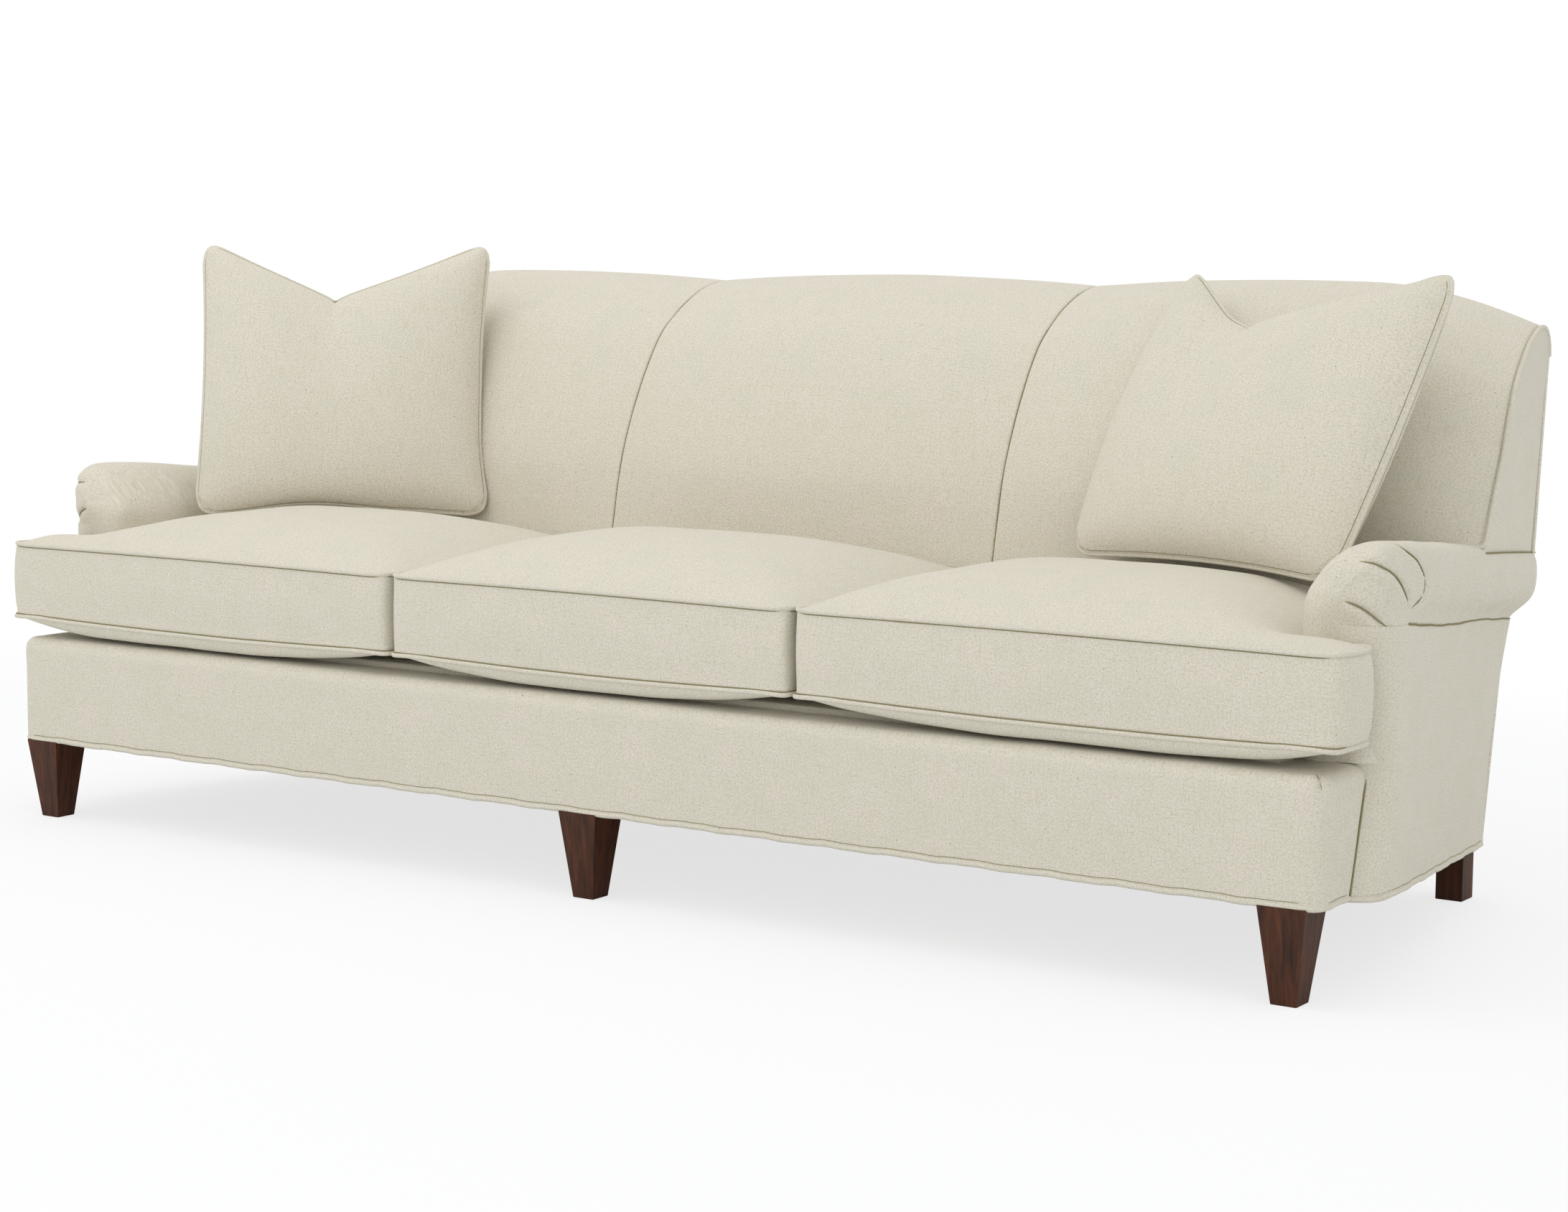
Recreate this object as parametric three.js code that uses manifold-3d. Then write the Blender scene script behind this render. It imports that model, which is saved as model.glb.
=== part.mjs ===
// Three-seat sofa with low rolled arms set back behind a T-shaped seat front, a tight rounded back in
// three panels, three loose seat cushions and two throw pillows, on a hardwood frame with tapered legs.
// Millimetres, +Z up, +Y to the back, +X to the right as seen from the front.
import * as THREE from "three";
import { mergeVertices } from "three/addons/utils/BufferGeometryUtils.js";
import Module from "manifold-3d";

const wasm = await Module();
wasm.setup();

// Clearances
const fit = 0.3; // between pieces that touch
const mergeShare = 0.001; // points closer than this much of a clearance are one
const softFit = 0.6; // between the loose cushions and what holds them

// Seat: the T-shaped front is wider than the neck between the arms
const seatHalf = 1130; // half the width of the T-shaped front
const seamHalf = 349; // half the width of the middle cushion
const seatDepth = 535; // front of the cushions to the foot of the back
const earDepth = 104; // how far the cushion reaches back in front of an arm
const underPuff = 22.7; // underside of a cushion below its lower welt
const boxingHeight = 114; // between the two welts
const middlePuff = 67; // crown of the middle cushion above its upper welt
const outerPuff = 63; // crown of the outer cushions
const puffRun = 240; // distance from the edge over which a crown rises
const underPuffRun = 130;
const boxingBow = 5; // the free boxing bows out this much between the welts
const cornerPull = 7; // a corner is rounded by this much
const frontDrawIn = 3; // the front edge is drawn in between its corners

// Base
const baseInset = 12; // the base stands this far inside the T-shaped seat front
const baseHalf = seatHalf - baseInset;
const baseBottom = 125; // underside of the base above the floor
const baseHeight = 162; // underside of the base to its top
const baseCorner = 26; // radius of the front corners, seen from above
const baseTopRound = 19; // radius of the soft top edge
const coverThick = 20; // padded cover on the front rail
const returnDepth = 110; // how far the T-shaped base wraps round to the arm
const pitchShare = 0.07; // the underside falls this much per length towards the rear
const deckThick = 10;

// Arms
const armProud = 20; // outermost line of the roll at the nose, outside the seat front
const armWidth = 117; // from that line to the inner face of the arm
const armOuter = seatHalf + armProud;
const armInner = armOuter - armWidth;
const armNose = 106; // front of the roll
const noseRound = 48; // radius of the rounded front of the roll
const armTop = 567; // top of the roll at the nose
const rollHeight = 101; // top of the roll to the seam under it
const innerSplayShare = 0.15; // the inner face turns in this much per length
const rollSplayShare = 0.123;
const armFallShare = 0.1; // the roll falls this much per length
const panelFront = 111; // front of the outer arm panel
const panelInset = 4; // outer arm panel, inside that line where its front corner ends
const panelOuter = armOuter - panelInset;
const panelCorner = 50; // radius of that front corner
const panelSplayShare = 0.192;
const panelThick = 10;
const panelLap = 12; // the panel laps in front of the arm pad
const cornerShare = 0.3; // of the length of the panel grid, for its corner

// Back
const backRise = 559; // deck to the crest at a seam
const backLean = 320; // foot of the back to that crest
const backDepth = 210; // foot of the back to the rear face, where it meets the floor's level
const rearFoot = seatDepth + backDepth;
const rakeShare = 0.22; // the rear face leans back this much per height
const backPad = 48; // padding over the back frame
const crownFromShare = 0.2; // the crown of a back panel starts this far up its length
const crownRunShare = 0.125; // and is full after this much of it
const crownPower = 2.2; // a crown is this full
const panelCrown = 14; // a back panel stands out between its seams
const backInset = 52; // foot of the back, inside the outermost line of the arm
const backHalf = armOuter - backInset;
const backSplayShare = 0.13;
const backSideThick = 12;
const sideDropShare = 0.3; // the closed side reaches this far down the roll
const outsideThick = 8;
const tuckRun = 265; // length over which the back rounds down to its end
const tuckLowShare = 0.27; // of the rise, where that rounding starts
const tuckPower = 1.7;
const gripFromShare = 0.31; // of the rise, where the end starts to lean back
const gripRunShare = 0.36;
const tuckDepthShare = 0.18;
const tuckDropShare = 0.135;

// Frame
const railThick = 32;
const sideRailHeight = 100;
const sideRailSplayShare = 0.12; // the side rails turn in this much per length
const backRailHeight = 100;
const stretcherThick = 28;
const stretcherHeight = 55;
const seatRailHeight = 46; // rail that holds the rear ends of the seat springs
const slatHeight = 42;
const blockSize = 70; // legs of a triangular corner block
const blockHeight = 60;
const postDepth = 36; // arm post, front to back
const armBoardThick = 22;
const boardShift = 14; // rear end of the board, outside the back post
const boardDropShare = 0.38; // the board lies this far down the roll
const armBoardWidth = 56;
const ribThick = 28; // plywood ribs of the back
const ribFit = 3; // between a rib and the padding
const topRailSize = 27;
const topRailInset = 43; // top rail, in front of the rear edge of the ribs
const springWire = 4;
const springWidth = 44; // across the zigzag
const springsPerSeat = 4;
const springBends = 14;
const bendShare = 0.3; // straight part of a bend to each side
const dustThick = 2;

// Legs
const legInset = 49; // front legs, inside the end of the base
const legSpread = baseHalf - legInset;
const legSetback = 30; // front legs, from the front plane
const legFoot = 35; // side of the square foot
const legTaperShare = 0.24; // the side widens this much per height
const rearLegInset = 97; // rear legs, inside the foot of the back
const rearLegSpread = backHalf - rearLegInset;
const rearLegForward = 10; // middle of a rear leg, in front of the rear face's foot
const rearLegSetback = rearFoot - rearLegForward;
const rearLegSide = 40;
const boltRadius = 4;
const boltHalf = 40; // length of a hanger bolt in the leg and in the rail
const boltSetback = 9; // front bolt, behind the middle of its leg
const boltClear = 0.3; // round the bolt

// Pillows
const pillowSide = 480;
const pillowPuff = 76; // half the thickness at the middle
const pillowEdge = 7; // thickness of the piped edge
const fullnessShare = 0.45; // power of the rise from the edge, lower is fuller
const pressDepthShare = 0.45; // the pressed-in middle of the top is this much thinner
const pressWidthShare = 0.3;
const gridTurnShare = 0.4; // of half a turn: more packs the grid closer to the edges
const pillowDraw = 14; // the top and bottom edges are drawn in between their corners
const chopDepth = 92; // depth of the V pressed into the top edge
const pillowFit = 1.1; // above the crown of a cushion and beside an arm
const pillowBackFit = 4; // in front of the back

// Outlines as shares of the sizes that they follow
const backShares = [
  [0, 0],
  [0.012, 0.24],
  [0.035, 0.32],
  [0.094, 0.479],
  [0.178, 0.608],
  [0.29, 0.732],
  [0.422, 0.841],
  [0.547, 0.9],
  [0.672, 0.945],
  [0.828, 0.982],
  [1, 1],
  [1.12, 0.985],
  [1.185, 0.945],
  [1.2, 0.9],
];
const rollShares = [
  [0, -1],
  [0, -0.72],
  [0.06, -0.48],
  [0.22, -0.25],
  [0.45, -0.08],
  [0.7, 0],
  [0.88, -0.02],
  [0.97, -0.12],
  [1, -0.32],
  [1, -0.55],
  [0.97, -0.78],
  [0.85, -1],
];
const acrossShares = [0, 0.03, 0.09, 0.19, 0.32, 0.45, 0.55, 0.68, 0.81, 0.91, 0.97, 1];
const neckWidthShare = 0.87; // of the front of an outer cushion
const neckShares = [0, 0.07, 0.18, 0.32, 0.48, 0.64, 0.79, 0.91, 1];
const earShares = [0, 0.35, 0.75, 1];
const noseShares = [0.02, 0.08, 0.2, 0.38, 0.6, 0.8, 1];
const armShares = [0.12, 0.26, 0.42, 0.58, 0.74, 0.88, 1];

// Places worked out from the sizes
const deckTop = baseBottom + baseHeight + deckThick;
const deckUnder = deckTop - deckThick - fit;
const lowerWelt = deckTop + fit + underPuff;
const upperWelt = lowerWelt + boxingHeight;
const railFront = coverThick + fit;
const railRear = railFront + railThick;
const panelLine = (y) => panelOuter - panelSplayShare * Math.max(0, y - panelFront - panelCorner);
const undersideAt = (y) => baseBottom - pitchShare * Math.max(0, y - returnDepth);
const rearAt = (z) => rearFoot + rakeShare * z;
const armInnerAt = (y) => armInner - innerSplayShare * (y - armNose);
const rollOuterAt = (y) => armOuter - rollSplayShare * (y - armNose);
const armTopAt = (y) => armTop - armFallShare * (y - armNose);
const seamAt = (y) => armTopAt(y) - rollHeight;
const backSideAt = (y) => backHalf - backSplayShare * (y - seatDepth);
const sideRailAt = (y) => panelOuter - panelCorner - panelLap - fit - sideRailSplayShare * (y - panelFront);
const lerp = THREE.MathUtils.lerp;
const clamp = THREE.MathUtils.clamp;

// Materials
function finish(color, roughness, metalness = 0) {
  return new THREE.MeshStandardMaterial({ color, roughness, metalness });
}
const linen = finish(0xddd6cb, 0.95);
const hardwood = finish(0xc9a878, 0.8);
const walnut = finish(0x4d3021, 0.45);
const steel = finish(0x8c8f92, 0.4, 0.9);
const blackCloth = finish(0x26241f, 1);

const sofa = new THREE.Group();

function add(name, geometry, material) {
  const mesh = new THREE.Mesh(geometry, material);
  mesh.name = name;
  sofa.add(mesh);
  return mesh;
}

// Adds a piece of the right side and its mirror image on the left.
function addPair(name, geometry, material) {
  add("right_" + name, geometry, material);
  add("left_" + name, geometry, material).scale.x = -1;
}

// Geometry from points and faces, turned so that its faces point out.
function meshOf(points, faces) {
  const geometry = new THREE.BufferGeometry().setFromPoints(points);
  const volume = faces.reduce((sum, [a, b, c]) => {
    const normal = points[b].clone().cross(points[c]);
    return sum + points[a].dot(normal);
  }, 0);
  const turned = volume < 0 ? faces.map(([a, b, c]) => [a, c, b]) : faces;
  return geometry.setIndex(turned.flat());
}

const quad = (a, b, c, d) => [
  [a, b, c],
  [a, c, d],
];

// Closed solid between two grids of points of the same size.
function slab(front, back) {
  const rows = front.length;
  const columns = front[0].length;
  const points = [...front.flat(), ...back.flat()];
  const f = (i, j) => i * columns + j;
  const b = (i, j) => rows * columns + f(i, j);
  const faces = [];
  for (let i = 0; i < rows - 1; i++) {
    for (let j = 0; j < columns - 1; j++) {
      faces.push(...quad(f(i, j), f(i + 1, j), f(i + 1, j + 1), f(i, j + 1)));
      faces.push(...quad(b(i, j), b(i, j + 1), b(i + 1, j + 1), b(i + 1, j)));
    }
    const last = columns - 1;
    faces.push(...quad(f(i + 1, 0), f(i, 0), b(i, 0), b(i + 1, 0)));
    faces.push(...quad(f(i, last), f(i + 1, last), b(i + 1, last), b(i, last)));
  }
  for (let j = 0; j < columns - 1; j++) {
    const last = rows - 1;
    faces.push(...quad(f(0, j), f(0, j + 1), b(0, j + 1), b(0, j)));
    faces.push(...quad(f(last, j + 1), f(last, j), b(last, j), b(last, j + 1)));
  }
  return meshOf(points, faces);
}

// Closed solid through rings of points, capped by a fan at each end.
function loft(rings) {
  const count = rings[0].length;
  const faces = [];
  for (let i = 0; i < rings.length - 1; i++) {
    for (let j = 0; j < count; j++) {
      const next = (j + 1) % count;
      faces.push(...quad(i * count + j, i * count + next, (i + 1) * count + next, (i + 1) * count + j));
    }
  }
  const end = (rings.length - 1) * count;
  for (let j = 1; j < count - 1; j++) {
    faces.push([0, j + 1, j]);
    faces.push([end, end + j, end + j + 1]);
  }
  return meshOf(rings.flat(), faces);
}

// Straight member with six faces. A bound is a length, or a function: y of the height, then z and x of y.
function member(x, y, z, grow = 0) {
  const value = (bound, at) => (typeof bound === "function" ? bound(at) : bound);
  const corner = (i, j, k) => {
    const grown = (end) => (end ? grow : -grow);
    const depth = value(y[j], value(z[k], 0)) + grown(j);
    const height = value(z[k], depth) + grown(k);
    return new THREE.Vector3(value(x[i], depth) + grown(i), depth, height);
  };
  const ring = (j) => [corner(0, j, 0), corner(1, j, 0), corner(1, j, 1), corner(0, j, 1)];
  return loft([ring(0), ring(1)]);
}

// Flat plate: an outline of [u, v] pairs, made thick and placed by a function of u, v and the depth.
function plate(outline, depth, place) {
  const shape = new THREE.Shape(outline.map(([u, v]) => new THREE.Vector2(u, v)));
  const flat = new THREE.ExtrudeGeometry(shape, { depth, bevelEnabled: false });
  flat.deleteAttribute("normal");
  flat.deleteAttribute("uv");
  const merged = mergeVertices(flat);
  const at = merged.getAttribute("position");
  const points = [];
  for (let i = 0; i < at.count; i++) {
    points.push(place(at.getX(i), at.getY(i), at.getZ(i)));
  }
  const faces = [];
  for (let i = 0; i < merged.index.count; i += 3) {
    faces.push([merged.index.getX(i), merged.index.getX(i + 1), merged.index.getX(i + 2)]);
  }
  return meshOf(points, faces);
}

const boltSides = 12;
function cylinder(radius, low, high, x, y) {
  const geometry = new THREE.CylinderGeometry(radius, radius, high - low, boltSides);
  geometry.rotateX(Math.PI / 2);
  geometry.translate(x, y, (low + high) / 2);
  return geometry;
}

function solidOf(geometry) {
  const bare = geometry.clone();
  bare.deleteAttribute("normal");
  bare.deleteAttribute("uv");
  const merged = mergeVertices(bare, fit * mergeShare);
  const triVerts = new Uint32Array(merged.index.array);
  return new wasm.Manifold(
    new wasm.Mesh({ numProp: 3, vertProperties: merged.getAttribute("position").array, triVerts }),
  );
}

function geometryOf(solid) {
  const { numProp, numVert, vertProperties, triVerts } = solid.getMesh();
  const positions = new Float32Array(3 * numVert);
  for (let i = 0; i < numVert; i++) {
    positions.set(vertProperties.subarray(i * numProp, i * numProp + 3), 3 * i);
  }
  const geometry = new THREE.BufferGeometry();
  geometry.setAttribute("position", new THREE.BufferAttribute(positions, 3));
  return geometry.setIndex(new THREE.BufferAttribute(triVerts, 1));
}

const cut = (geometry, ...tools) =>
  geometryOf(tools.reduce((solid, tool) => solid.subtract(solidOf(tool)), solidOf(geometry)));
const join = (...parts) => geometryOf(parts.map(solidOf).reduce((whole, part) => whole.add(part)));

// Legs and their hanger bolts
const frontLegTop = baseBottom - fit;
const rearUnderside = undersideAt(rearLegSetback);
const frontBoltY = legSetback + boltSetback;
const bolts = [];

function leg(name, x, y, footSide, taperShare, top, boltY) {
  const square = (z) => {
    const half = (footSide + taperShare * z) / 2;
    return [
      new THREE.Vector3(x - half, y - half, z),
      new THREE.Vector3(x + half, y - half, z),
      new THREE.Vector3(x + half, y + half, z),
      new THREE.Vector3(x - half, y + half, z),
    ];
  };
  const bore = cylinder(boltRadius + boltClear, top - boltHalf - fit, top + boltHalf, x, boltY);
  add(name + "_leg", cut(loft([square(0), square(top)]), bore), walnut);
  add(name + "_leg_bolt", cylinder(boltRadius, top - boltHalf, top + boltHalf, x, boltY), steel);
  bolts.push(cylinder(boltRadius + boltClear, top - boltHalf, top + boltHalf + fit, x, boltY));
}

const columns = { left: -1, centre: 0, right: 1 };
for (const [side, sign] of Object.entries(columns)) {
  leg("front_" + side, sign * legSpread, legSetback, legFoot, legTaperShare, frontLegTop, frontBoltY);
}
for (const [side, sign] of Object.entries(columns)) {
  const top = rearUnderside - fit;
  const boltY = rearLegSetback + boltSetback;
  leg("rear_" + side, sign * rearLegSpread, rearLegSetback, rearLegSide, 0, top, boltY);
}

// Seat frame
const railEnd = baseHalf - coverThick - fit;
const chamfer = baseCorner - coverThick;
const mirrored = (outline) => [...outline, ...outline.map(([x, y]) => [-x, y]).reverse()];
const railOutline = [
  [railEnd - chamfer, railFront],
  [railEnd, railFront + chamfer],
  [railEnd, railRear],
];
const frontRail = plate(
  mirrored(railOutline),
  deckUnder - baseBottom,
  (x, y, z) => new THREE.Vector3(x, y, baseBottom + z),
);
add("front_rail", cut(frontRail, ...bolts.slice(0, 3)), hardwood);

const backRailRear = (z) => rearAt(z) - outsideThick - fit;
const backRailFront = (z) => backRailRear(z) - railThick;
const backRailTop = rearUnderside + backRailHeight;
const backRailEnd = sideRailAt(rearLegSetback) - fit;
const backRailSpan = [-backRailEnd, backRailEnd];
const backRail = member(backRailSpan, [backRailFront, backRailRear], [rearUnderside, backRailTop]);
add("back_rail", cut(backRail, ...bolts.slice(3)), hardwood);

const sideRailInner = (y) => sideRailAt(y) - stretcherThick;
const sideRailRear = backRailFront(rearUnderside) - fit;
const sideRailRearTop = rearUnderside + sideRailHeight;
const sideRailOutline = [
  [railRear + fit, baseBottom],
  [returnDepth, baseBottom],
  [sideRailRear, undersideAt(sideRailRear)],
  [backRailFront(sideRailRearTop) - fit, sideRailRearTop],
  [returnDepth, baseBottom + sideRailHeight],
  [railRear + fit, baseBottom + sideRailHeight],
];
const onSideRail = (y, z, d) => new THREE.Vector3(sideRailAt(y) - d, y, z);
addPair("side_rail", plate(sideRailOutline, stretcherThick, onSideRail), hardwood);

const stretcherLow = backRailTop - fit - stretcherHeight;
const stretcherX = [seamHalf - stretcherThick / 2, seamHalf + stretcherThick / 2];
const stretcherY = [railRear + fit, (z) => backRailFront(z) - fit];
addPair(
  "seat_stretcher",
  member(stretcherX, stretcherY, [stretcherLow, stretcherLow + stretcherHeight]),
  hardwood,
);

// Triangular blocks glued into the four corners of the seat frame
function cornerBlock(y, towards, low) {
  const faceY = y + towards * fit;
  const faceX = sideRailInner(faceY) - fit;
  const tipY = faceY + towards * blockSize;
  const outline = [
    [faceX, faceY],
    [faceX - blockSize, faceY],
    [sideRailInner(tipY) - fit, tipY],
  ];
  return plate(outline, blockHeight, (x, depth, z) => new THREE.Vector3(x, depth, low + z));
}
addPair("front_corner_block", cornerBlock(railRear, 1, baseBottom + blockHeight / 4), hardwood);
const rearBlockLow = rearUnderside + blockHeight / 4;
addPair("rear_corner_block", cornerBlock(backRailFront(rearUnderside), -1, rearBlockLow), hardwood);

// Side profile of the back, as [y, z] points from its foot over the crest to the rear edge
const backSteps = 17;
const backCurve = new THREE.SplineCurve(
  backShares.map(([y, z]) => new THREE.Vector2(seatDepth + y * backLean, deckTop + z * backRise)),
);

function backLine(stand) {
  const points = backCurve.getSpacedPoints(backSteps);
  return points.map((point, i) => {
    const before = points[Math.max(0, i - 1)];
    const after = points[Math.min(backSteps, i + 1)];
    const along = after.clone().sub(before).normalize();
    const out = stand(i / backSteps);
    return new THREE.Vector2(point.x - along.y * out, Math.max(deckTop + fit, point.y + along.x * out));
  });
}

// The back rounds down and back towards its ends.
const tuckLow = deckTop + tuckLowShare * backRise;
const tuckedFrom = backHalf - tuckRun - backPad / 2;
function tucked(x, y, z) {
  const amount = Math.pow(Math.max(0, Math.abs(x) - tuckedFrom) / tuckRun, tuckPower);
  const grip = clamp((z - deckTop - gripFromShare * backRise) / (gripRunShare * backRise), 0, 1);
  const height = z > tuckLow ? tuckLow + (z - tuckLow) * (1 - tuckDropShare * amount) : z;
  const rear = rearAt(z);
  const depth = rear - (rear - y) * (1 - tuckDepthShare * amount * grip);
  return new THREE.Vector3(x, depth, height);
}

const crownAt = (across, along) => {
  const rise = clamp(Math.min(along - crownFromShare, 1 - along) / crownRunShare, 0, 1);
  return panelCrown * (1 - Math.pow(Math.abs(2 * across - 1), crownPower)) * rise;
};

// Ribs of the back, cut from plywood to the inside of the padding
const innerLine = backLine(() => -backPad - ribFit);
const rearInner = (z) => rearAt(z) - outsideThick - fit;
const ribFoot = backRailTop + fit;
function rib(x, thick = ribThick, grow = 0) {
  const line = backLine(() => grow - backPad - ribFit).map((point) => {
    const at = tucked(x, point.x, point.y);
    return [Math.min(at.y, rearInner(at.z) + grow), at.z];
  });
  const top = line[backSteps][1];
  const outline = [
    [backRailFront(ribFoot) - grow, ribFoot],
    ...line,
    [rearInner(top) + grow, top - fit],
    [rearInner(ribFoot) + grow, ribFoot],
  ];
  return plate(outline, thick, (y, z, d) => new THREE.Vector3(x - d, y, z));
}

const postX = panelLine(rearAt(deckTop)) - panelThick - ribThick / 2;
const lineAt = (line, height) => {
  const after = line.findIndex((point) => point.y >= height);
  const before = line[Math.max(0, after - 1)];
  const next = line[Math.max(1, after)];
  return lerp(before.x, next.x, (height - before.y) / (next.y - before.y));
};
const footY = innerLine[0].x + fit;
const topRailY = innerLine[backSteps].x - topRailInset;
const topRailHigh = tucked(postX, topRailY, Math.max(...innerLine.map((point) => point.y))).z - fit * 2;
const railSpan = postX - ribThick - fit;
const topRailBox = [
  [topRailY, topRailY + topRailSize],
  [topRailHigh - 2 * topRailSize, topRailHigh - topRailSize],
];
const lowerRailBox = [
  [Math.max(footY, lineAt(innerLine, deckTop + slatHeight)) + fit, footY + stretcherThick],
  [deckTop + fit, deckTop + slatHeight],
];
const seatRailBox = [
  [footY, footY + stretcherThick],
  [deckUnder - seatRailHeight, deckUnder],
];
const backRails = { back_top_rail: topRailBox, back_lower_rail: lowerRailBox, rear_seat_rail: seatRailBox };
for (const [name, [y, z]] of Object.entries(backRails)) {
  add(name, member([-railSpan, railSpan], y, z), hardwood);
}
const notches = Object.values(backRails).map(([[, rear], z]) => {
  const open = z === topRailBox[1] ? topRailY : 0;
  return member([-railSpan, railSpan], [open, rear], z, fit);
});
const deckNotch = member(
  [-railSpan, railSpan],
  [0, footY + stretcherThick + fit],
  [deckUnder, deckTop + fit],
);
const postRib = rib(postX);
addPair("back_post", cut(postRib, deckNotch), hardwood);
addPair("back_upright", cut(rib(seamHalf + ribThick / 2), deckNotch, ...notches), hardwood);

// Zigzag seat springs between the front rail and the rear seat rail, tied across
function wire(points, radius) {
  const rings = points.map((point, i) => {
    const before = points[Math.max(0, i - 1)];
    const after = points[Math.min(points.length - 1, i + 1)];
    const incoming = point.clone().sub(before).normalize();
    const outgoing = after.clone().sub(point).normalize();
    const along = incoming.clone().add(outgoing).normalize();
    const side = new THREE.Vector3(along.y, -along.x, 0);
    const straight = i === 0 ? outgoing : incoming;
    side.multiplyScalar(radius / Math.abs(straight.y * side.x - straight.x * side.y));
    const up = new THREE.Vector3(0, 0, radius);
    return [
      point.clone().add(side).add(up),
      point.clone().sub(side).add(up),
      point.clone().sub(side).sub(up),
      point.clone().add(side).sub(up),
    ];
  });
  return loft(rings);
}

const springHeight = deckUnder - springWire / 2 - fit;
const springFrom = railRear + fit;
const springTo = footY - fit;
function seatSprings(from, to) {
  const radius = springWire / 2;
  const wires = [];
  const middle = (n) => lerp(from, to, (n + 0.5) / springsPerSeat);
  for (let n = 0; n < springsPerSeat; n++) {
    const bend = (springTo - springFrom) / (springBends + 1);
    const ends = [0, springWire, -springWire, 0].map((off, k) => {
      return new THREE.Vector3(middle(n), (k < 2 ? springFrom : springTo) + off, springHeight);
    });
    const points = [ends[0], ends[1]];
    for (let k = 0; k < springBends; k++) {
      const x = middle(n) + (k % 2 ? 1 : -1) * (springWidth / 2);
      const y = springFrom + (k + 1) * bend;
      points.push(new THREE.Vector3(x, y - bend * bendShare, springHeight));
      points.push(new THREE.Vector3(x, y + bend * bendShare, springHeight));
    }
    points.push(ends[2], ends[3]);
    wires.push(wire(points, radius));
  }
  for (const share of [1 / 3, 2 / 3]) {
    const y = lerp(springFrom, springTo, share);
    const ends = [middle(0) - springWidth, middle(springsPerSeat - 1) + springWidth];
    wires.push(wire(ends.map((x) => new THREE.Vector3(x, y, springHeight - radius / 2)), radius / 2));
  }
  return join(...wires);
}
const springEdge = seamHalf + stretcherThick;
add("centre_seat_springs", seatSprings(-seamHalf, seamHalf), steel);
addPair("seat_springs", seatSprings(springEdge, sideRailAt(seatDepth)), steel);

// Deck cloth over the springs, T-shaped like the seat
const deckFront = railFront;
const deckEar = baseHalf - coverThick - fit;
const deckRear = footY + stretcherThick;
const deckOutline = [
  [deckEar, deckFront],
  [deckEar, returnDepth],
  [armInnerAt(returnDepth) - softFit, returnDepth],
  [armInnerAt(deckRear) - softFit, deckRear],
];
add(
  "seat_deck",
  plate(mirrored(deckOutline), deckThick, (x, y, z) => new THREE.Vector3(x, y, deckTop - deckThick + z)),
  blackCloth,
);

// Dust cover under the seat frame
const dustFront = legSetback + (legFoot + legTaperShare * baseBottom) / 2 + fit;
const dustRear = rearLegSetback - rearLegSide / 2 - fit;
const dustGrid = (drop) =>
  [dustFront, returnDepth, dustRear].map((y) =>
    [-1, 1].map((sign) => new THREE.Vector3(sign * sideRailAt(y), y, undersideAt(y) - fit - drop)),
  );
add("dust_cover", slab(dustGrid(0), dustGrid(dustThick)), blackCloth);

// Padded cover of the base: front, rounded corners and the two returns
const turn = 6;
const thirdShares = [0, 0.33, 0.66, 1];
function baseLine(inset) {
  const half = baseHalf - inset;
  const radius = baseCorner - inset;
  const centre = baseHalf - baseCorner;
  const points = [[half, returnDepth]];
  for (let k = 0; k <= turn; k++) {
    const angle = (k / turn) * (Math.PI / 2);
    points.push([centre + radius * Math.cos(angle), baseCorner - radius * Math.sin(angle)]);
  }
  const straight = thirdShares.toReversed().slice(1).map((share) => [share * centre, inset]);
  const side = [...points, ...straight];
  return [...side, ...side.slice(0, -1).map(([x, y]) => [-x, y]).reverse()];
}
const baseTop = baseBottom + baseHeight;
const roundAt = (share) => {
  const angle = share * (Math.PI / 2);
  return [baseTopRound * (1 - Math.cos(angle)), baseTop - baseTopRound * (1 - Math.sin(angle))];
};
const coverFace = [[0, baseBottom], [0, baseBottom + baseHeight / 2], ...thirdShares.map(roundAt)];
const coverInside = coverFace.map(([, z]) => [coverThick, z]);
const baseGrid = (face) =>
  face.map(([inset, z]) => baseLine(inset).map(([x, y]) => new THREE.Vector3(x, y, z)));
add("base_cover", slab(baseGrid(coverFace), baseGrid(coverInside)), linen);

// Outer arm panel: its front corner turns in behind the seat front
const panelHigh = (y) => seamAt(y) - fit;
const rearPasses = 6;
function panelRear(height) {
  let y = rearFoot;
  for (let pass = 0; pass < rearPasses; pass++) {
    y = rearInner(lerp(undersideAt(y), panelHigh(y), height));
  }
  return y;
}
function panelPoint(share, height, inset) {
  const radius = panelCorner - inset;
  const centre = [panelOuter - panelCorner, panelFront + panelCorner];
  const low = undersideAt;
  let x = 0;
  let y = 0;
  if (share <= cornerShare) {
    const angle = (share / cornerShare) * (Math.PI / 2);
    x = centre[0] + radius * Math.sin(angle);
    y = centre[1] - radius * Math.cos(angle);
  } else {
    const along = (share - cornerShare) / (1 - cornerShare);
    y = lerp(centre[1], panelRear(height), along);
    x = panelLine(y) - inset;
  }
  return new THREE.Vector3(x, y, lerp(low(y), panelHigh(y), height));
}
const turnShares = [0, 0.2, 0.4, 0.6, 0.8, 1];
const runShares = [0.2, 0.43, 0.69, 1];
const panelPath = [
  ...turnShares.map((share) => share * cornerShare),
  ...runShares.map((share) => lerp(cornerShare, 1, share)),
];
const panelGrid = (inset) =>
  thirdShares.map((height) => {
    const lap = panelPoint(0, height, inset);
    const start = new THREE.Vector3(lap.x - panelLap, lap.y, lap.z);
    return [start, ...panelPath.map((share) => panelPoint(share, height, inset))];
  });
addPair("outer_arm", slab(panelGrid(0), panelGrid(panelThick)), linen);

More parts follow.
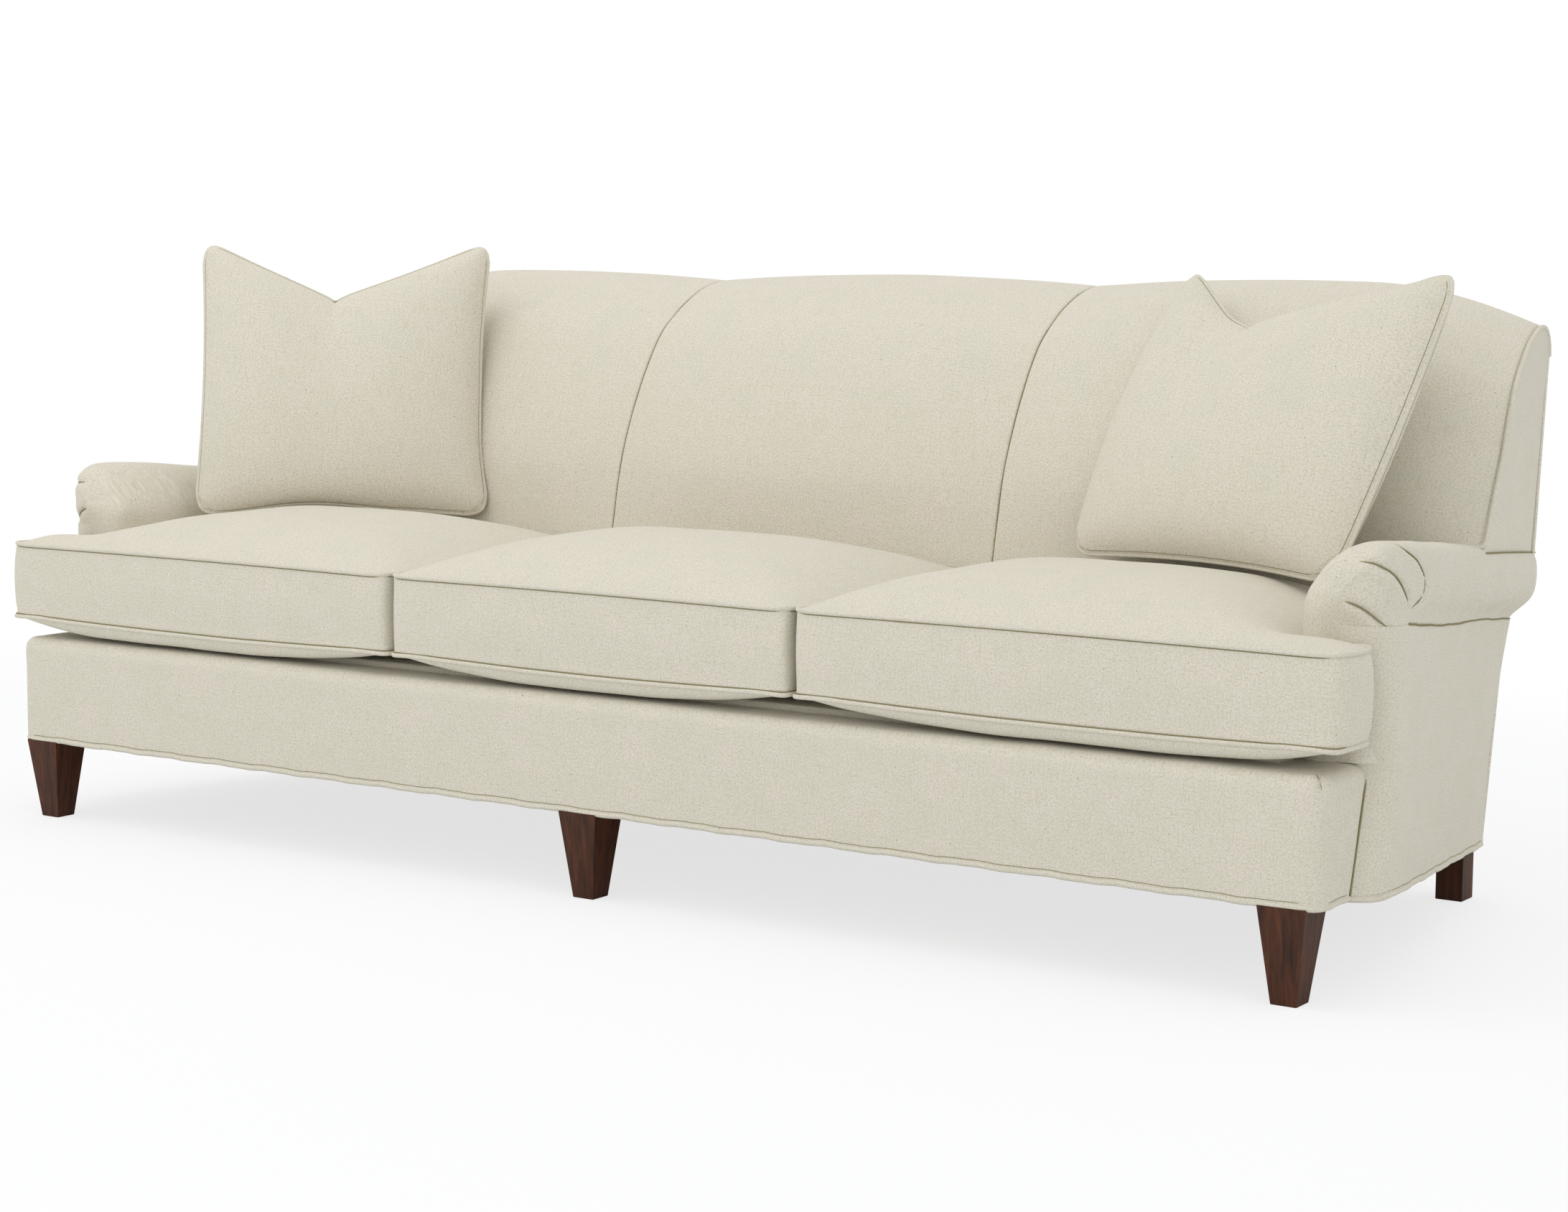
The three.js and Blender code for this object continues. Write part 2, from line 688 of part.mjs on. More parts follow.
// Arm pad: a roll on a core that stands between the seat and the outer panel
const armRear = (z) => rearAt(z) - outsideThick - fit;
function rollRing(y, inset, grow) {
  const low = armInnerAt(y) + inset - grow;
  const high = rollOuterAt(y) - inset + grow;
  const top = armTopAt(y) - inset + grow;
  const height = rollHeight - inset + 2 * grow;
  return rollShares.map(([across, down]) => {
    const hang = across > 0.5 ? clamp(-1 - 2 * down, 0, 1) : 0;
    const seam = panelLine(y) - inset + grow;
    return [lerp(lerp(low, high, across), seam, hang), top + down * height];
  });
}
function armForm(grow) {
  const rings = noseShares.map((share) => {
    const inset = noseRound * (1 - Math.sqrt(1 - (1 - share) ** 2));
    const y = armNose + share * noseRound - grow;
    return rollRing(y, inset, grow).map(([x, z]) => new THREE.Vector3(x, y, z));
  });
  for (const share of armShares) {
    const y = lerp(armNose + noseRound, rearInner(seamAt(rearFoot)), share);
    const ring = rollRing(y, 0, grow);
    rings.push(
      ring.map(([x, z]) => {
        const depth = share === 1 ? armRear(z) + grow : y;
        return new THREE.Vector3(x, depth, z);
      }),
    );
  }
  const inner = panelThick + fit;
  const frontInner = panelFront + inner;
  const centreX = panelOuter - panelCorner;
  const rearY = rearAt(deckTop) - outsideThick - fit;
  const corner = turnShares.map((share) => {
    const angle = share * (Math.PI / 2);
    const radius = panelCorner - inner + grow;
    return [centreX + radius * Math.sin(angle), panelFront + panelCorner - radius * Math.cos(angle)];
  });
  const lapX = centreX - panelLap - fit;
  const core = [
    [armInnerAt(panelFront) - grow, panelFront - grow],
    [lapX, panelFront - grow],
    [lapX, frontInner - grow],
    ...corner,
    [panelLine(rearY) - inner + grow, rearY + grow],
    [armInnerAt(rearY) - grow, rearY + grow],
  ];
  const low = deckTop + fit - grow;
  const high = seamAt(rearY) + rollHeight / 2;
  const rise = seamAt(panelFront) - seamAt(rearY);
  const coreSolid = plate(core, high - low, (x, y, z) => {
    const slope = z > 0 ? rise * clamp((rearY - y) / (rearY - panelFront), 0, 1) : 0;
    return new THREE.Vector3(x, y, low + z + slope);
  });
  return join(loft(rings), coreSolid);
}

const postFront = panelFront + panelCorner;
const armPostX = [(y) => sideRailAt(y) + fit, (y) => panelLine(y) - panelThick - fit];
const boardTop = (y) => armTopAt(y) - rollHeight * boardDropShare;
const boardUnder = (y) => boardTop(y) - armBoardThick;
const boardMiddle = (y) => {
  const share = (y - postFront) / (footY - postFront);
  return lerp((armInner + armOuter) / 2 - panelThick, postX + boardShift, share);
};
const boardX = [(y) => boardMiddle(y) - armBoardWidth / 2, (y) => boardMiddle(y) + armBoardWidth / 2];
const boardRear = lineAt(innerLine, boardUnder(seatDepth)) - ribFit;
const boxes = {
  arm_post: [armPostX, [postFront, postFront + postDepth], [undersideAt, (y) => boardUnder(y) - fit]],
  arm_board: [boardX, [postFront, boardRear - fit], [boardUnder, boardTop]],
  arm_slat: [
    [(y) => boardMiddle(y) - stretcherThick, boardMiddle],
    [postFront + postDepth + fit, footY - fit],
    [deckTop + 3 * fit, deckTop + slatHeight],
  ],
};
const grown = (box) => member(...box, fit);
for (const [name, box] of Object.entries(boxes)) {
  addPair(name, member(...box), hardwood);
}
const postSlot = rib(postX + fit, armOuter - armInner, fit);
addPair("arm_pad", cut(armForm(0), ...Object.values(boxes).map(grown), postSlot), linen);

// Padded panels of the back, and the sides that close its ends
const acrossPanel = [0, 0.08, 0.2, 0.35, 0.5, 0.65, 0.8, 0.92, 1];
function backPanel(xAt) {
  const surface = (stand) =>
    acrossPanel.map((across) => {
      const line = backLine((along) => stand(across, along));
      return line.map((point) => {
        const at = tucked(xAt(across, point.x, point.y), point.x, point.y);
        at.x = xAt(across, at.y, point.y);
        return at;
      });
    });
  return slab(surface(crownAt), surface(() => -backPad));
}
const seamEdge = seamHalf - fit / 2;
add("centre_back_panel", backPanel((across) => lerp(-seamEdge, seamEdge, across)), linen);
const outerPanel = backPanel((across, y, z) => {
  const above = z > armTopAt(y) - rollHeight / 4;
  const end = above ? backSideAt(y) - backSideThick - fit : armInnerAt(y) + backSideThick;
  return lerp(seamHalf + fit / 2, end, across);
});
const armSpace = armForm(fit);
addPair("back_panel", cut(outerPanel, armSpace, grown(boxes.arm_board)), linen);

const sideInset = backSideThick;
const endLine = backLine(() => 0).map((point) => {
  const at = tucked(backSideAt(point.x) - sideInset, point.x, point.y);
  return [Math.min(at.y, rearInner(at.z)), at.z];
});
const sideLow = (y) => armTopAt(y) - rollHeight * sideDropShare;
const sideOutline = [
  [endLine.find(([y, z]) => z > sideLow(y))[0], sideLow(seatDepth)],
  ...endLine.filter(([y, z]) => z > sideLow(y) + fit),
  [rearInner(sideLow(rearFoot)), sideLow(rearFoot)],
];
const backSide = plate(sideOutline, backSideThick, (y, z, d) => new THREE.Vector3(backSideAt(y) - d, y, z));
addPair("back_side", cut(backSide, armSpace), linen);

// Outside back: it covers the ends of the arms too, and its top follows the rear edge of the panels
const rearEdge = backLine(() => 0)[backSteps];
const rearEdgeInner = backLine(() => -backPad)[backSteps];
const outsideTop = (x) => {
  const outer = tucked(x, rearEdge.x, rearEdge.y).z;
  const inner = tucked(x, rearEdgeInner.x, rearEdgeInner.y).z;
  return Math.min(outer, lerp(outer, inner, (2 * outsideThick) / backPad)) - 4 * fit;
};
const outsideEnd = (z) => backSideAt(rearAt(z));
const rollEndY = rearAt(seamAt(rearFoot));
const rollEnd = rollRing(rollEndY, 0, 0).filter(([x, z]) => {
  return x > postX && z < armTopAt(rollEndY) - rollHeight / 4;
});
const topEnd = outsideEnd(outsideTop(outsideEnd(armTop)));
const topShares = [1, 0.97, 0.93, 0.88, 0.82, 0.75, 0];
const outsideOutline = [
  [panelLine(rearAt(rearUnderside)), rearUnderside],
  ...rollEnd.reverse(),
  ...topShares.map((share) => [share * topEnd, outsideTop(share * topEnd)]),
];
const outsideBack = mirrored(outsideOutline.slice(0, -1));
add(
  "outside_back",
  plate(outsideBack, outsideThick - fit, (x, z, d) => new THREE.Vector3(x, rearAt(z) - d, z)),
  linen,
);

// Seat cushions
function edgeDistance(outline, x, y) {
  let nearest = Infinity;
  outline.forEach(([ax, ay], i) => {
    const [bx, by] = outline[(i + 1) % outline.length];
    const length = Math.hypot(bx - ax, by - ay);
    const run = clamp(((x - ax) * (bx - ax) + (y - ay) * (by - ay)) / length ** 2, 0, 1);
    nearest = Math.min(nearest, Math.hypot(x - lerp(ax, bx, run), y - lerp(ay, by, run)));
  });
  return nearest;
}
const swell = (distance, run) => 1 - Math.pow(1 - clamp(distance / run, 0, 1), crownPower);

// Boxed cushion on a grid of cells. place gives the point above the plan for a grid corner.
function quilt(columnsOf, rowsOf, inside, plan, topAt, underAt, bow) {
  const points = [];
  const known = new Map();
  const levels = 2;
  const point = (i, j, level) => {
    const key = [i, j, level].join();
    if (!known.has(key)) {
      const [x, y] = plan(i, j);
      const heights = [underAt(x, y), (lowerWelt + upperWelt) / 2, topAt(x, y)];
      const [dx, dy] = level === 1 ? bow(i, j) : [0, 0];
      known.set(key, points.push(new THREE.Vector3(x + dx, y + dy, heights[level])) - 1);
    }
    return known.get(key);
  };
  const filled = (i, j) => i >= 0 && j >= 0 && i < columnsOf && j < rowsOf && inside(i, j);
  const faces = [];
  for (let i = 0; i < columnsOf; i++) {
    for (let j = 0; j < rowsOf; j++) {
      if (!filled(i, j)) continue;
      const loop = [
        [i, j],
        [i + 1, j],
        [i + 1, j + 1],
        [i, j + 1],
      ];
      faces.push(...quad(...loop.map(([a, b]) => point(a, b, levels))));
      faces.push(...quad(...loop.map(([a, b]) => point(a, b, 0)).reverse()));
      const beyond = [filled(i, j - 1), filled(i + 1, j), filled(i, j + 1), filled(i - 1, j)];
      beyond.forEach((taken, side) => {
        if (taken) return;
        const a = loop[side];
        const b = loop[(side + 1) % loop.length];
        for (let level = 0; level < levels; level++) {
          const lower = [point(...a, level), point(...b, level)];
          const upper = [point(...b, level + 1), point(...a, level + 1)];
          faces.push(...quad(...lower, ...upper));
        }
      });
    }
  }
  return meshOf(points, faces);
}

const cushionFront = 0;
const cushionRear = seatDepth - softFit;
const drawn = (share) => 4 * share * (1 - share);
const middleOutline = [
  [-seamHalf, cushionFront],
  [seamHalf, cushionFront],
  [seamHalf, cushionRear],
  [-seamHalf, cushionRear],
];
const middleTop = (x, y) => upperWelt + middlePuff * swell(edgeDistance(middleOutline, x, y), puffRun);
const middleUnder = (x, y) =>
  lowerWelt - underPuff * swell(edgeDistance(middleOutline, x, y), underPuffRun);
const lastAcross = acrossShares.length - 1;
function middlePlan(i, j) {
  const across = acrossShares[i];
  const along = acrossShares[j];
  const atEnd = [0, lastAcross].includes(i);
  const pull = atEnd && [0, lastAcross].includes(j) ? cornerPull : 0;
  const half = seamHalf - softFit / 2 - pull / 2;
  const front = cushionFront + frontDrawIn * drawn(across) * (1 - along) + (j === 0 ? pull / 2 : 0);
  const rear = cushionRear - (j === lastAcross ? pull / 2 : 0);
  return [lerp(-half, half, across), lerp(front, rear, along)];
}
const middleBow = (i, j) => [0, j ? 0 : -boxingBow];
add(
  "centre_seat_cushion",
  quilt(lastAcross, lastAcross, () => true, middlePlan, middleTop, middleUnder, middleBow),
  linen,
);

// Outer cushion: a neck between the middle cushion and the arm, with an ear in front of the arm
const neckAt = (y) => armInnerAt(Math.max(y, earDepth)) - softFit;
const outerOutline = [
  [seamHalf, cushionFront],
  [seatHalf, cushionFront],
  [seatHalf, earDepth],
  [neckAt(earDepth), earDepth],
  [neckAt(cushionRear), cushionRear],
  [seamHalf, cushionRear],
];
const outerTop = (x, y) =>
  upperWelt + outerPuff * swell(edgeDistance(outerOutline, Math.abs(x), y), puffRun);
const outerUnder = (x, y) =>
  lowerWelt - underPuff * swell(edgeDistance(outerOutline, Math.abs(x), y), underPuffRun);
const neckColumns = acrossShares.length - 1;
const earColumns = earShares.length - 1;
const outerColumns = neckColumns + earColumns;
const earRows = earShares.length - 1;
const outerRows = earRows + neckShares.length - 1;
function outerPlan(i, j) {
  const inEar = j <= earRows;
  const share = inEar ? earShares[j] : neckShares[j - earRows];
  const lastRow = j === outerRows;
  const frontRow = j === 0;
  const earEnd = i === outerColumns;
  const cornerRow = frontRow || lastRow || (earEnd && j === earRows);
  const pull = cornerRow && (i === 0 || earEnd || (lastRow && i === neckColumns)) ? cornerPull / 2 : 0;
  const rough = inEar ? lerp(cushionFront, earDepth, share) : lerp(earDepth, cushionRear, share);
  const width = i <= neckColumns ? acrossShares[i] : 1;
  const inNeck = i <= neckColumns;
  const earShare = earShares[Math.max(0, i - neckColumns)];
  const acrossAll = inNeck ? acrossShares[i] * neckWidthShare : lerp(neckWidthShare, 1, earShare);
  const bent = frontDrawIn * drawn(acrossAll) * clamp(1 - rough / seatDepth, 0, 1);
  const y = rough + bent + (frontRow ? pull : 0) - (lastRow || (earEnd && j === earRows) ? pull : 0);
  const neck = lerp(seamHalf + softFit / 2, neckAt(rough), width);
  const x = inNeck ? neck : lerp(neckAt(rough), seatHalf, earShare);
  return [x + (i === 0 ? pull : 0) - (earEnd || (lastRow && i === neckColumns) ? pull : 0), y];
}
const outerBow = (i, j) => [i === outerColumns ? boxingBow : 0, j ? 0 : -boxingBow];
const outerCushion = quilt(
  outerColumns,
  outerRows,
  (i, j) => i < neckColumns || j < earRows,
  outerPlan,
  outerTop,
  outerUnder,
  outerBow,
);
addPair("seat_cushion", outerCushion, linen);

// Throw pillows, pressed in at the top, settled on the cushion, the back and the arm
function backFrontAt(x, z) {
  const side = Math.abs(x);
  const across = side < seamHalf ? (x / seamHalf + 1) / 2 : (side - seamHalf) / (backHalf - seamHalf);
  const surface = backLine((along) => crownAt(clamp(across, 0, 1), along));
  const line = surface.map((point) => tucked(x, point.x, point.y));
  const after = line.findIndex((point) => point.z >= z);
  if (after < 1) return after === 0 ? line[0].y : Infinity;
  const run = (z - line[after - 1].z) / (line[after].z - line[after - 1].z);
  return lerp(line[after - 1].y, line[after].y, run);
}
function settled(point) {
  const { x, y, z } = point;
  const side = Math.sign(x);
  const height = Math.max(z, outerTop(x, y) + pillowFit);
  const reach = height < armTopAt(y) ? armInnerAt(y) - pillowFit : Infinity;
  const depth = Math.min(y, backFrontAt(x, height) - pillowBackFit);
  return new THREE.Vector3(side * Math.min(Math.abs(x), reach), depth, height);
}

const pillowCellCount = 13;
const gridTurn = gridTurnShare * Math.PI;
const packed = (k) => Math.sin(((2 * k) / pillowCellCount - 1) * gridTurn) / Math.sin(gridTurn);
function pillow(centre, { yaw, lean, notch, draws }) {
  const across = new THREE.Vector3(Math.cos(yaw), Math.sin(yaw), 0);
  const facing = new THREE.Vector3(Math.sin(yaw), -Math.cos(yaw), 0);
  const up = new THREE.Vector3(0, 0, Math.cos(lean)).addScaledVector(facing, -Math.sin(lean));
  const normal = new THREE.Vector3().crossVectors(across, up);
  const half = pillowSide / 2;
  const face = (side) => {
    const grid = [];
    for (let i = 0; i <= pillowCellCount; i++) {
      const row = [];
      for (let j = 0; j <= pillowCellCount; j++) {
        const [u, v] = [i, j].map(packed);
        const high = (v + 1) / 2;
        const off = u < notch ? (notch - u) / (1 + notch) : (u - notch) / (1 - notch);
        const chop = chopDepth * (1 - off) * high ** 2;
        const pressed = 1 - pressDepthShare * Math.exp(-((off / pressWidthShare) ** 2)) * high;
        const puff = pillowPuff * Math.pow((1 - u * u) * (1 - v * v), fullnessShare) * pressed;
        const drawIn = draws[u < 0 ? 0 : 1] * pillowDraw;
        const point = centre.clone();
        point.addScaledVector(across, u * (half - drawIn * (1 - v * v)));
        point.addScaledVector(up, v * (half - pillowDraw * (1 - u * u)) - chop);
        point.addScaledVector(normal, side * (pillowEdge / 2 + puff));
        row.push(settled(point));
      }
      grid.push(row);
    }
    return grid;
  };
  return slab(face(1), face(-1));
}
const pillowBase = upperWelt + outerPuff;
const pillowShares = {
  left_pillow: { x: -0.735, y: 0.85, rise: 0.41, notch: -0.08, draws: [0.7, 1.2] },
  right_pillow: { x: 0.69, y: 0.985, rise: 0.39, notch: -0.45, draws: [-1.4, -0.4] },
};
const pillowTurns = {
  left_pillow: { yaw: 0.65, lean: 0.355 },
  right_pillow: { yaw: -0.28, lean: 0.546 },
};
for (const [name, set] of Object.entries(pillowShares)) {
  const centre = new THREE.Vector3(set.x * seatHalf, set.y * seatDepth, pillowBase + set.rise * pillowSide);
  add(name, pillow(centre, { ...set, ...pillowTurns[name] }), linen);
}

// The origin stands on the floor under the middle of the whole.
const whole = new THREE.Box3().setFromObject(sofa);
sofa.position.y = -(whole.min.y + whole.max.y) / 2;
const part = new THREE.Group();
part.add(sofa);

export default part;
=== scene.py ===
# %% [markdown]
# # A three-seat sofa with low rolled arms
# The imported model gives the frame: where each piece is, and what it moves with. This script dresses it:
# every soft part gets a cloth cover of its own, with its seams and welts, and the legs get their stain.

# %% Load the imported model
import math

import bmesh
import bpy
import numpy as np
from mathutils import Matrix, Vector, noise


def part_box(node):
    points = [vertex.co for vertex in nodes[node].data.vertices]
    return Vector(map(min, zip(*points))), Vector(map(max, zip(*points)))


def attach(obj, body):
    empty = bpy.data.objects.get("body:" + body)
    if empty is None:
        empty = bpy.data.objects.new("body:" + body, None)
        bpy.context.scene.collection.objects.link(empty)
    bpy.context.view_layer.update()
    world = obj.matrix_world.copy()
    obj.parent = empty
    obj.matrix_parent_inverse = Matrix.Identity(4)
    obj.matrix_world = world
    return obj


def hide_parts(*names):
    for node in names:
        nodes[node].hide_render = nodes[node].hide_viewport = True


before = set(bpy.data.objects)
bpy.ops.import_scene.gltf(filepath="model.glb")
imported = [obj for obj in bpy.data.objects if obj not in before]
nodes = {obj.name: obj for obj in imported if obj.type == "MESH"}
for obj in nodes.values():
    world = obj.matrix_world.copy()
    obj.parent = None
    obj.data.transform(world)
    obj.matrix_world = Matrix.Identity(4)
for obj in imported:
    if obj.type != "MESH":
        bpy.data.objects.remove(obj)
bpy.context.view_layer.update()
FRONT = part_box("base_cover")[0].y  # plane of the base's front; depths below are measured from it
SIDES = ((-1, "left"), (1, "right"))

# %% [markdown]
# The camera stands where the picture was taken: to the right of the sofa, at about its own height, looking
# a little down. A long lens keeps the upright lines nearly parallel.

# %% Camera
PICTURE_WIDTH = 2184  # pixels
FOCAL = 4296.1  # pixels
SENSOR = 36.0  # millimetres
EYE = Vector((2.5951, FRONT - 3.3747, 0.9134))
YAW = 0.58817  # radians to the left of straight ahead
DOWN = 0.11628
ROLL = 0.00715


def linked(name, data):
    """A new object in the scene."""
    thing = bpy.data.objects.new(name, data)
    bpy.context.scene.collection.objects.link(thing)
    return thing


ahead = Vector((-math.sin(YAW) * math.cos(DOWN), math.cos(YAW) * math.cos(DOWN), -math.sin(DOWN)))
level = Vector((math.cos(YAW), math.sin(YAW), 0))
upright = level.cross(ahead)
right = level * math.cos(ROLL) + upright * math.sin(ROLL)
up = upright * math.cos(ROLL) - level * math.sin(ROLL)
lens = bpy.data.cameras.new("camera")
lens.sensor_width = SENSOR
lens.lens = FOCAL * SENSOR / PICTURE_WIDTH
camera = linked("camera", lens)
camera.matrix_world = Matrix.Translation(EYE) @ Matrix((right, up, -ahead)).transposed().to_4x4()
bpy.context.scene.camera = camera
print("lens", round(lens.lens, 2), "mm")

# %% [markdown]
# A material is a small graph of nodes. One helper adds a node with its settings, its fixed values and its
# links, and one turns a colour as it is written in a paint program to the linear numbers of the shader. Every
# finish below ends in the same two links, its colour and its bump, so these have a helper too.

# %% Helpers for materials
HIGHEST_BYTE = 255


def linear(hex_code):
    """Linear colour of an sRGB hex code, by the curve of the sRGB standard."""
    channels = [int(hex_code[i : i + 2], 16) / HIGHEST_BYTE for i in (1, 3, 5)]
    return [c / 12.92 if c <= 0.04045 else ((c + 0.055) / 1.055) ** 2.4 for c in channels] + [1.0]


def output_of(source):
    """A socket as it is, or the first output of a node."""
    return source.outputs[0] if hasattr(source, "outputs") else source


def add_node(tree, kind, values=None, links=None, tones=(), **settings):
    """A node with its settings, the fixed values of its sockets, its links and the tones of its ramp."""
    node = tree.nodes.new("ShaderNode" + kind)
    for name, value in settings.items():
        setattr(node, name, value)
    for socket, value in (values or {}).items():
        node.inputs[socket].default_value = value
    for socket, source in (links or {}).items():
        tree.links.new(output_of(source), node.inputs[socket])
    for k, (place, colour) in enumerate(tones):
        node.color_ramp.elements[k].position = place
        node.color_ramp.elements[k].color = linear(colour)
    return node


def new_material(name, values):
    """A material, its node tree and its Principled shader with these values."""
    material = bpy.data.materials.new(name)
    material.use_nodes = True
    shader = material.node_tree.nodes["Principled BSDF"]
    for socket, value in values.items():
        shader.inputs[socket].default_value = value
    return material, material.node_tree, shader


def surface(tree, shader, colour, height, strength, distance):
    """Gives the shader its colour, and a bump from a height."""
    bump = add_node(tree, "Bump", {"Strength": strength, "Distance": distance}, {"Height": height})
    tree.links.new(output_of(colour), shader.inputs["Base Color"])
    tree.links.new(output_of(bump), shader.inputs["Normal"])


# %% [markdown]
# The cover is a plain-woven linen blend in ecru. Its threads are uneven, so the cloth shows fine upright
# slubs, weaker ones across, and a few dark flecks of husk. The pattern follows the cloth, so it reads a map
# in metres that each cover carries, and not the position in the room.

# %% Linen
THREAD = 0.0017  # one thread to the next, drawn coarser than the real one so that it shows
DRIFT = 12 * THREAD  # the threads wander over this length
SLUB_LONG = 0.030
SLUB_WIDE = 0.0022
FLECK = 0.0032
PEBBLE = 0.0026
PEBBLE_RISE = 3.0  # the pebbles stand higher than the threads by this factor
MOTTLE = 0.07
MIX_DARK = 6  # the colour sockets of a Mix node
MIX_BASE = 7
MIXED = 2


def linen():
    values = {"Roughness": 0.92, "Specular IOR Level": 0.2, "Sheen Weight": 0.12, "Sheen Roughness": 0.55}
    material, tree, shader = new_material("ecru_linen_weave", values)
    cloth = add_node(tree, "UVMap", uv_map="cloth")
    drift = add_node(tree, "TexNoise", {"Scale": 1 / DRIFT, "Detail": 2.0}, {"Vector": cloth})
    step = (THREAD, THREAD, 0)
    moves = {0: drift.outputs["Color"], 2: cloth}
    shake = add_node(tree, "VectorMath", {1: step}, moves, operation="MULTIPLY_ADD")
    turns = (math.pi / THREAD, math.pi / THREAD, 0)
    angle = add_node(tree, "VectorMath", {1: turns}, {0: shake}, operation="MULTIPLY")
    parts = add_node(tree, "SeparateXYZ", links={0: angle})
    warp = add_node(tree, "Math", links={0: parts.outputs["X"]}, operation="SINE")
    weft = add_node(tree, "Math", links={0: parts.outputs["Y"]}, operation="SINE")
    weave = add_node(tree, "Math", links={0: warp, 1: weft}, operation="MULTIPLY")
    slubs = []
    for name, wide, tall in (("upright slubs", SLUB_WIDE, SLUB_LONG), ("cross slubs", SLUB_LONG, SLUB_WIDE)):
        drawn = add_node(tree, "VectorMath", {1: (1 / wide, 1 / tall, 0)}, {0: shake}, operation="MULTIPLY")
        slubs.append(add_node(tree, "TexNoise", {"Scale": 1.0, "Detail": 2.5}, {"Vector": drawn}, name=name))
    clouds = {"Scale": 1 / MOTTLE, "Detail": 3.0, "Roughness": 0.6}
    tone = add_node(tree, "TexNoise", clouds, {"Vector": cloth})
    pebbles = add_node(tree, "TexNoise", {"Scale": 1 / PEBBLE, "Detail": 1.5}, {"Vector": cloth})
    flecks = add_node(tree, "TexNoise", {"Scale": 1 / FLECK, "Detail": 1.0}, {"Vector": cloth})
    colour = add_node(tree, "ValToRGB", links={0: tone}, tones=((0.32, "#D7D4C5"), (0.68, "#DDD6CA")))
    for factor, low, high, dark, name in (
        (slubs[0], 0.30, 0.47, "#D0C9B8", "upright threads"),
        (slubs[1], 0.28, 0.45, "#D2CCBC", "cross threads"),
        # painted shade: the low points of the pebble bump are drawn darker
        (pebbles, 0.34, 0.56, "#C9C3B0", "hollows between threads"),
        (flecks, 0.225, 0.26, "#8E8466", "flecks"),
    ):
        amount = add_node(tree, "MapRange", {"From Min": low, "From Max": high}, {"Value": factor})
        links = {0: amount, MIX_BASE: colour}
        mixed = add_node(tree, "Mix", {MIX_DARK: linear(dark)}, links, data_type="RGBA", name=name)
        colour = mixed.outputs[MIXED]
    height = add_node(tree, "Math", {1: PEBBLE_RISE}, {0: pebbles, 2: weave}, operation="MULTIPLY_ADD")
    surface(tree, shader, colour, height, 0.35, THREAD / 5)
    return material


LINEN = linen()
# Painted shade: the dark colour of the fine lines laid in the depth of seams and folds, where little light
# comes in
SEAM_SHADE, _, _ = new_material(
    "ecru_linen_painted_seam_shade", {"Base Color": linear("#8F8768"), "Roughness": 1.0, "Specular IOR Level": 0.0}
)
print("material", LINEN.name, len(LINEN.node_tree.nodes), "nodes")

# %% [markdown]
# The legs are beech stained to a dark walnut under a satin lacquer: long brown streaks run down the leg and
# the lacquer gives a soft gloss. The frame inside is plain hardwood, the springs and bolts are steel.

# %% Wood, steel and lining cloth
GRAIN_WIDE = 0.004
GRAIN_LONG = 0.12
X_AXIS, Y_AXIS, Z_AXIS = range(3)


def wood(name, dark, light, along, roughness):
    """Stained or bare wood, its grain drawn out along one axis."""
    material, tree, shader = new_material(name, {"Roughness": roughness, "Specular IOR Level": 0.3})
    scale = [1 / GRAIN_WIDE] * 3
    scale[along] = 1 / GRAIN_LONG
    place = add_node(tree, "TexCoord").outputs["Object"]
    drawn = add_node(tree, "VectorMath", {1: scale}, {0: place}, operation="MULTIPLY")
    streaks = {"Scale": 0.5, "Detail": 5.0, "Roughness": 0.6, "Distortion": 0.6}
    grain = add_node(tree, "TexNoise", streaks, {"Vector": drawn})
    colour = add_node(tree, "ValToRGB", links={0: grain}, tones=((0.3, dark), (0.72, light)))
    surface(tree, shader, colour, grain, 0.12, 0.0004)
    return material


def speckled(name, dark, light, grit, roughness, metallic=0.0):
    """Steel wire or felted cloth: two close tones in a fine random pattern."""
    material, tree, shader = new_material(name, {"Roughness": roughness, "Metallic": metallic})
    place = add_node(tree, "TexCoord").outputs["Object"]
    spots = add_node(tree, "TexNoise", {"Scale": 1 / grit, "Detail": 3.0}, {"Vector": place})
    colour = add_node(tree, "ValToRGB", links={0: spots}, tones=((0.0, dark), (1.0, light)))
    surface(tree, shader, colour, spots, 0.2, grit / 8)
    return material


WALNUT = wood("walnut_stained_beech", "#28130A", "#5A3019", Z_AXIS, 0.55)
HARDWOODS = [wood(f"bare_hardwood_{a}", "#B99562", "#D9BC8C", a, 0.7) for a in (X_AXIS, Y_AXIS, Z_AXIS)]
STEEL = speckled("zinc_plated_steel", "#7E8184", "#9A9DA0", 0.002, 0.38, 1.0)
CAMBRIC = speckled("black_cambric", "#171614", "#2B2925", 0.0012, 0.95)
for name, node in nodes.items():
    low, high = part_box(name)
    longest = max(range(3), key=lambda axis: high[axis] - low[axis])
    if name.endswith("_leg"):
        finish = WALNUT
    elif "bolt" in name or "springs" in name:
        finish = STEEL
    elif name == "dust_cover":
        finish = CAMBRIC
    else:
        finish = HARDWOODS[longest]
    node.data.materials.clear()
    node.data.materials.append(finish)
print("finished", len(nodes), "nodes of the frame")

# %% [markdown]
# Upholstery is cloth pulled over a form. Each cover below starts as a flat grid, the cut piece of cloth, and
# its points are then laid on the form by a rule. Columns run across the cloth and rows run up it, both in
# metres, so the weave keeps its size. The grid is closed with a wall, because real padding has thickness.
# An operator acts on what is selected, so the first helpers select one piece, and open it for editing.

# %% Selecting and editing a piece


def clear():
    """Nothing selected, in object mode."""
    if bpy.context.object and bpy.context.object.mode != "OBJECT":
        bpy.ops.object.mode_set(mode="OBJECT")
    bpy.ops.object.select_all(action="DESELECT")


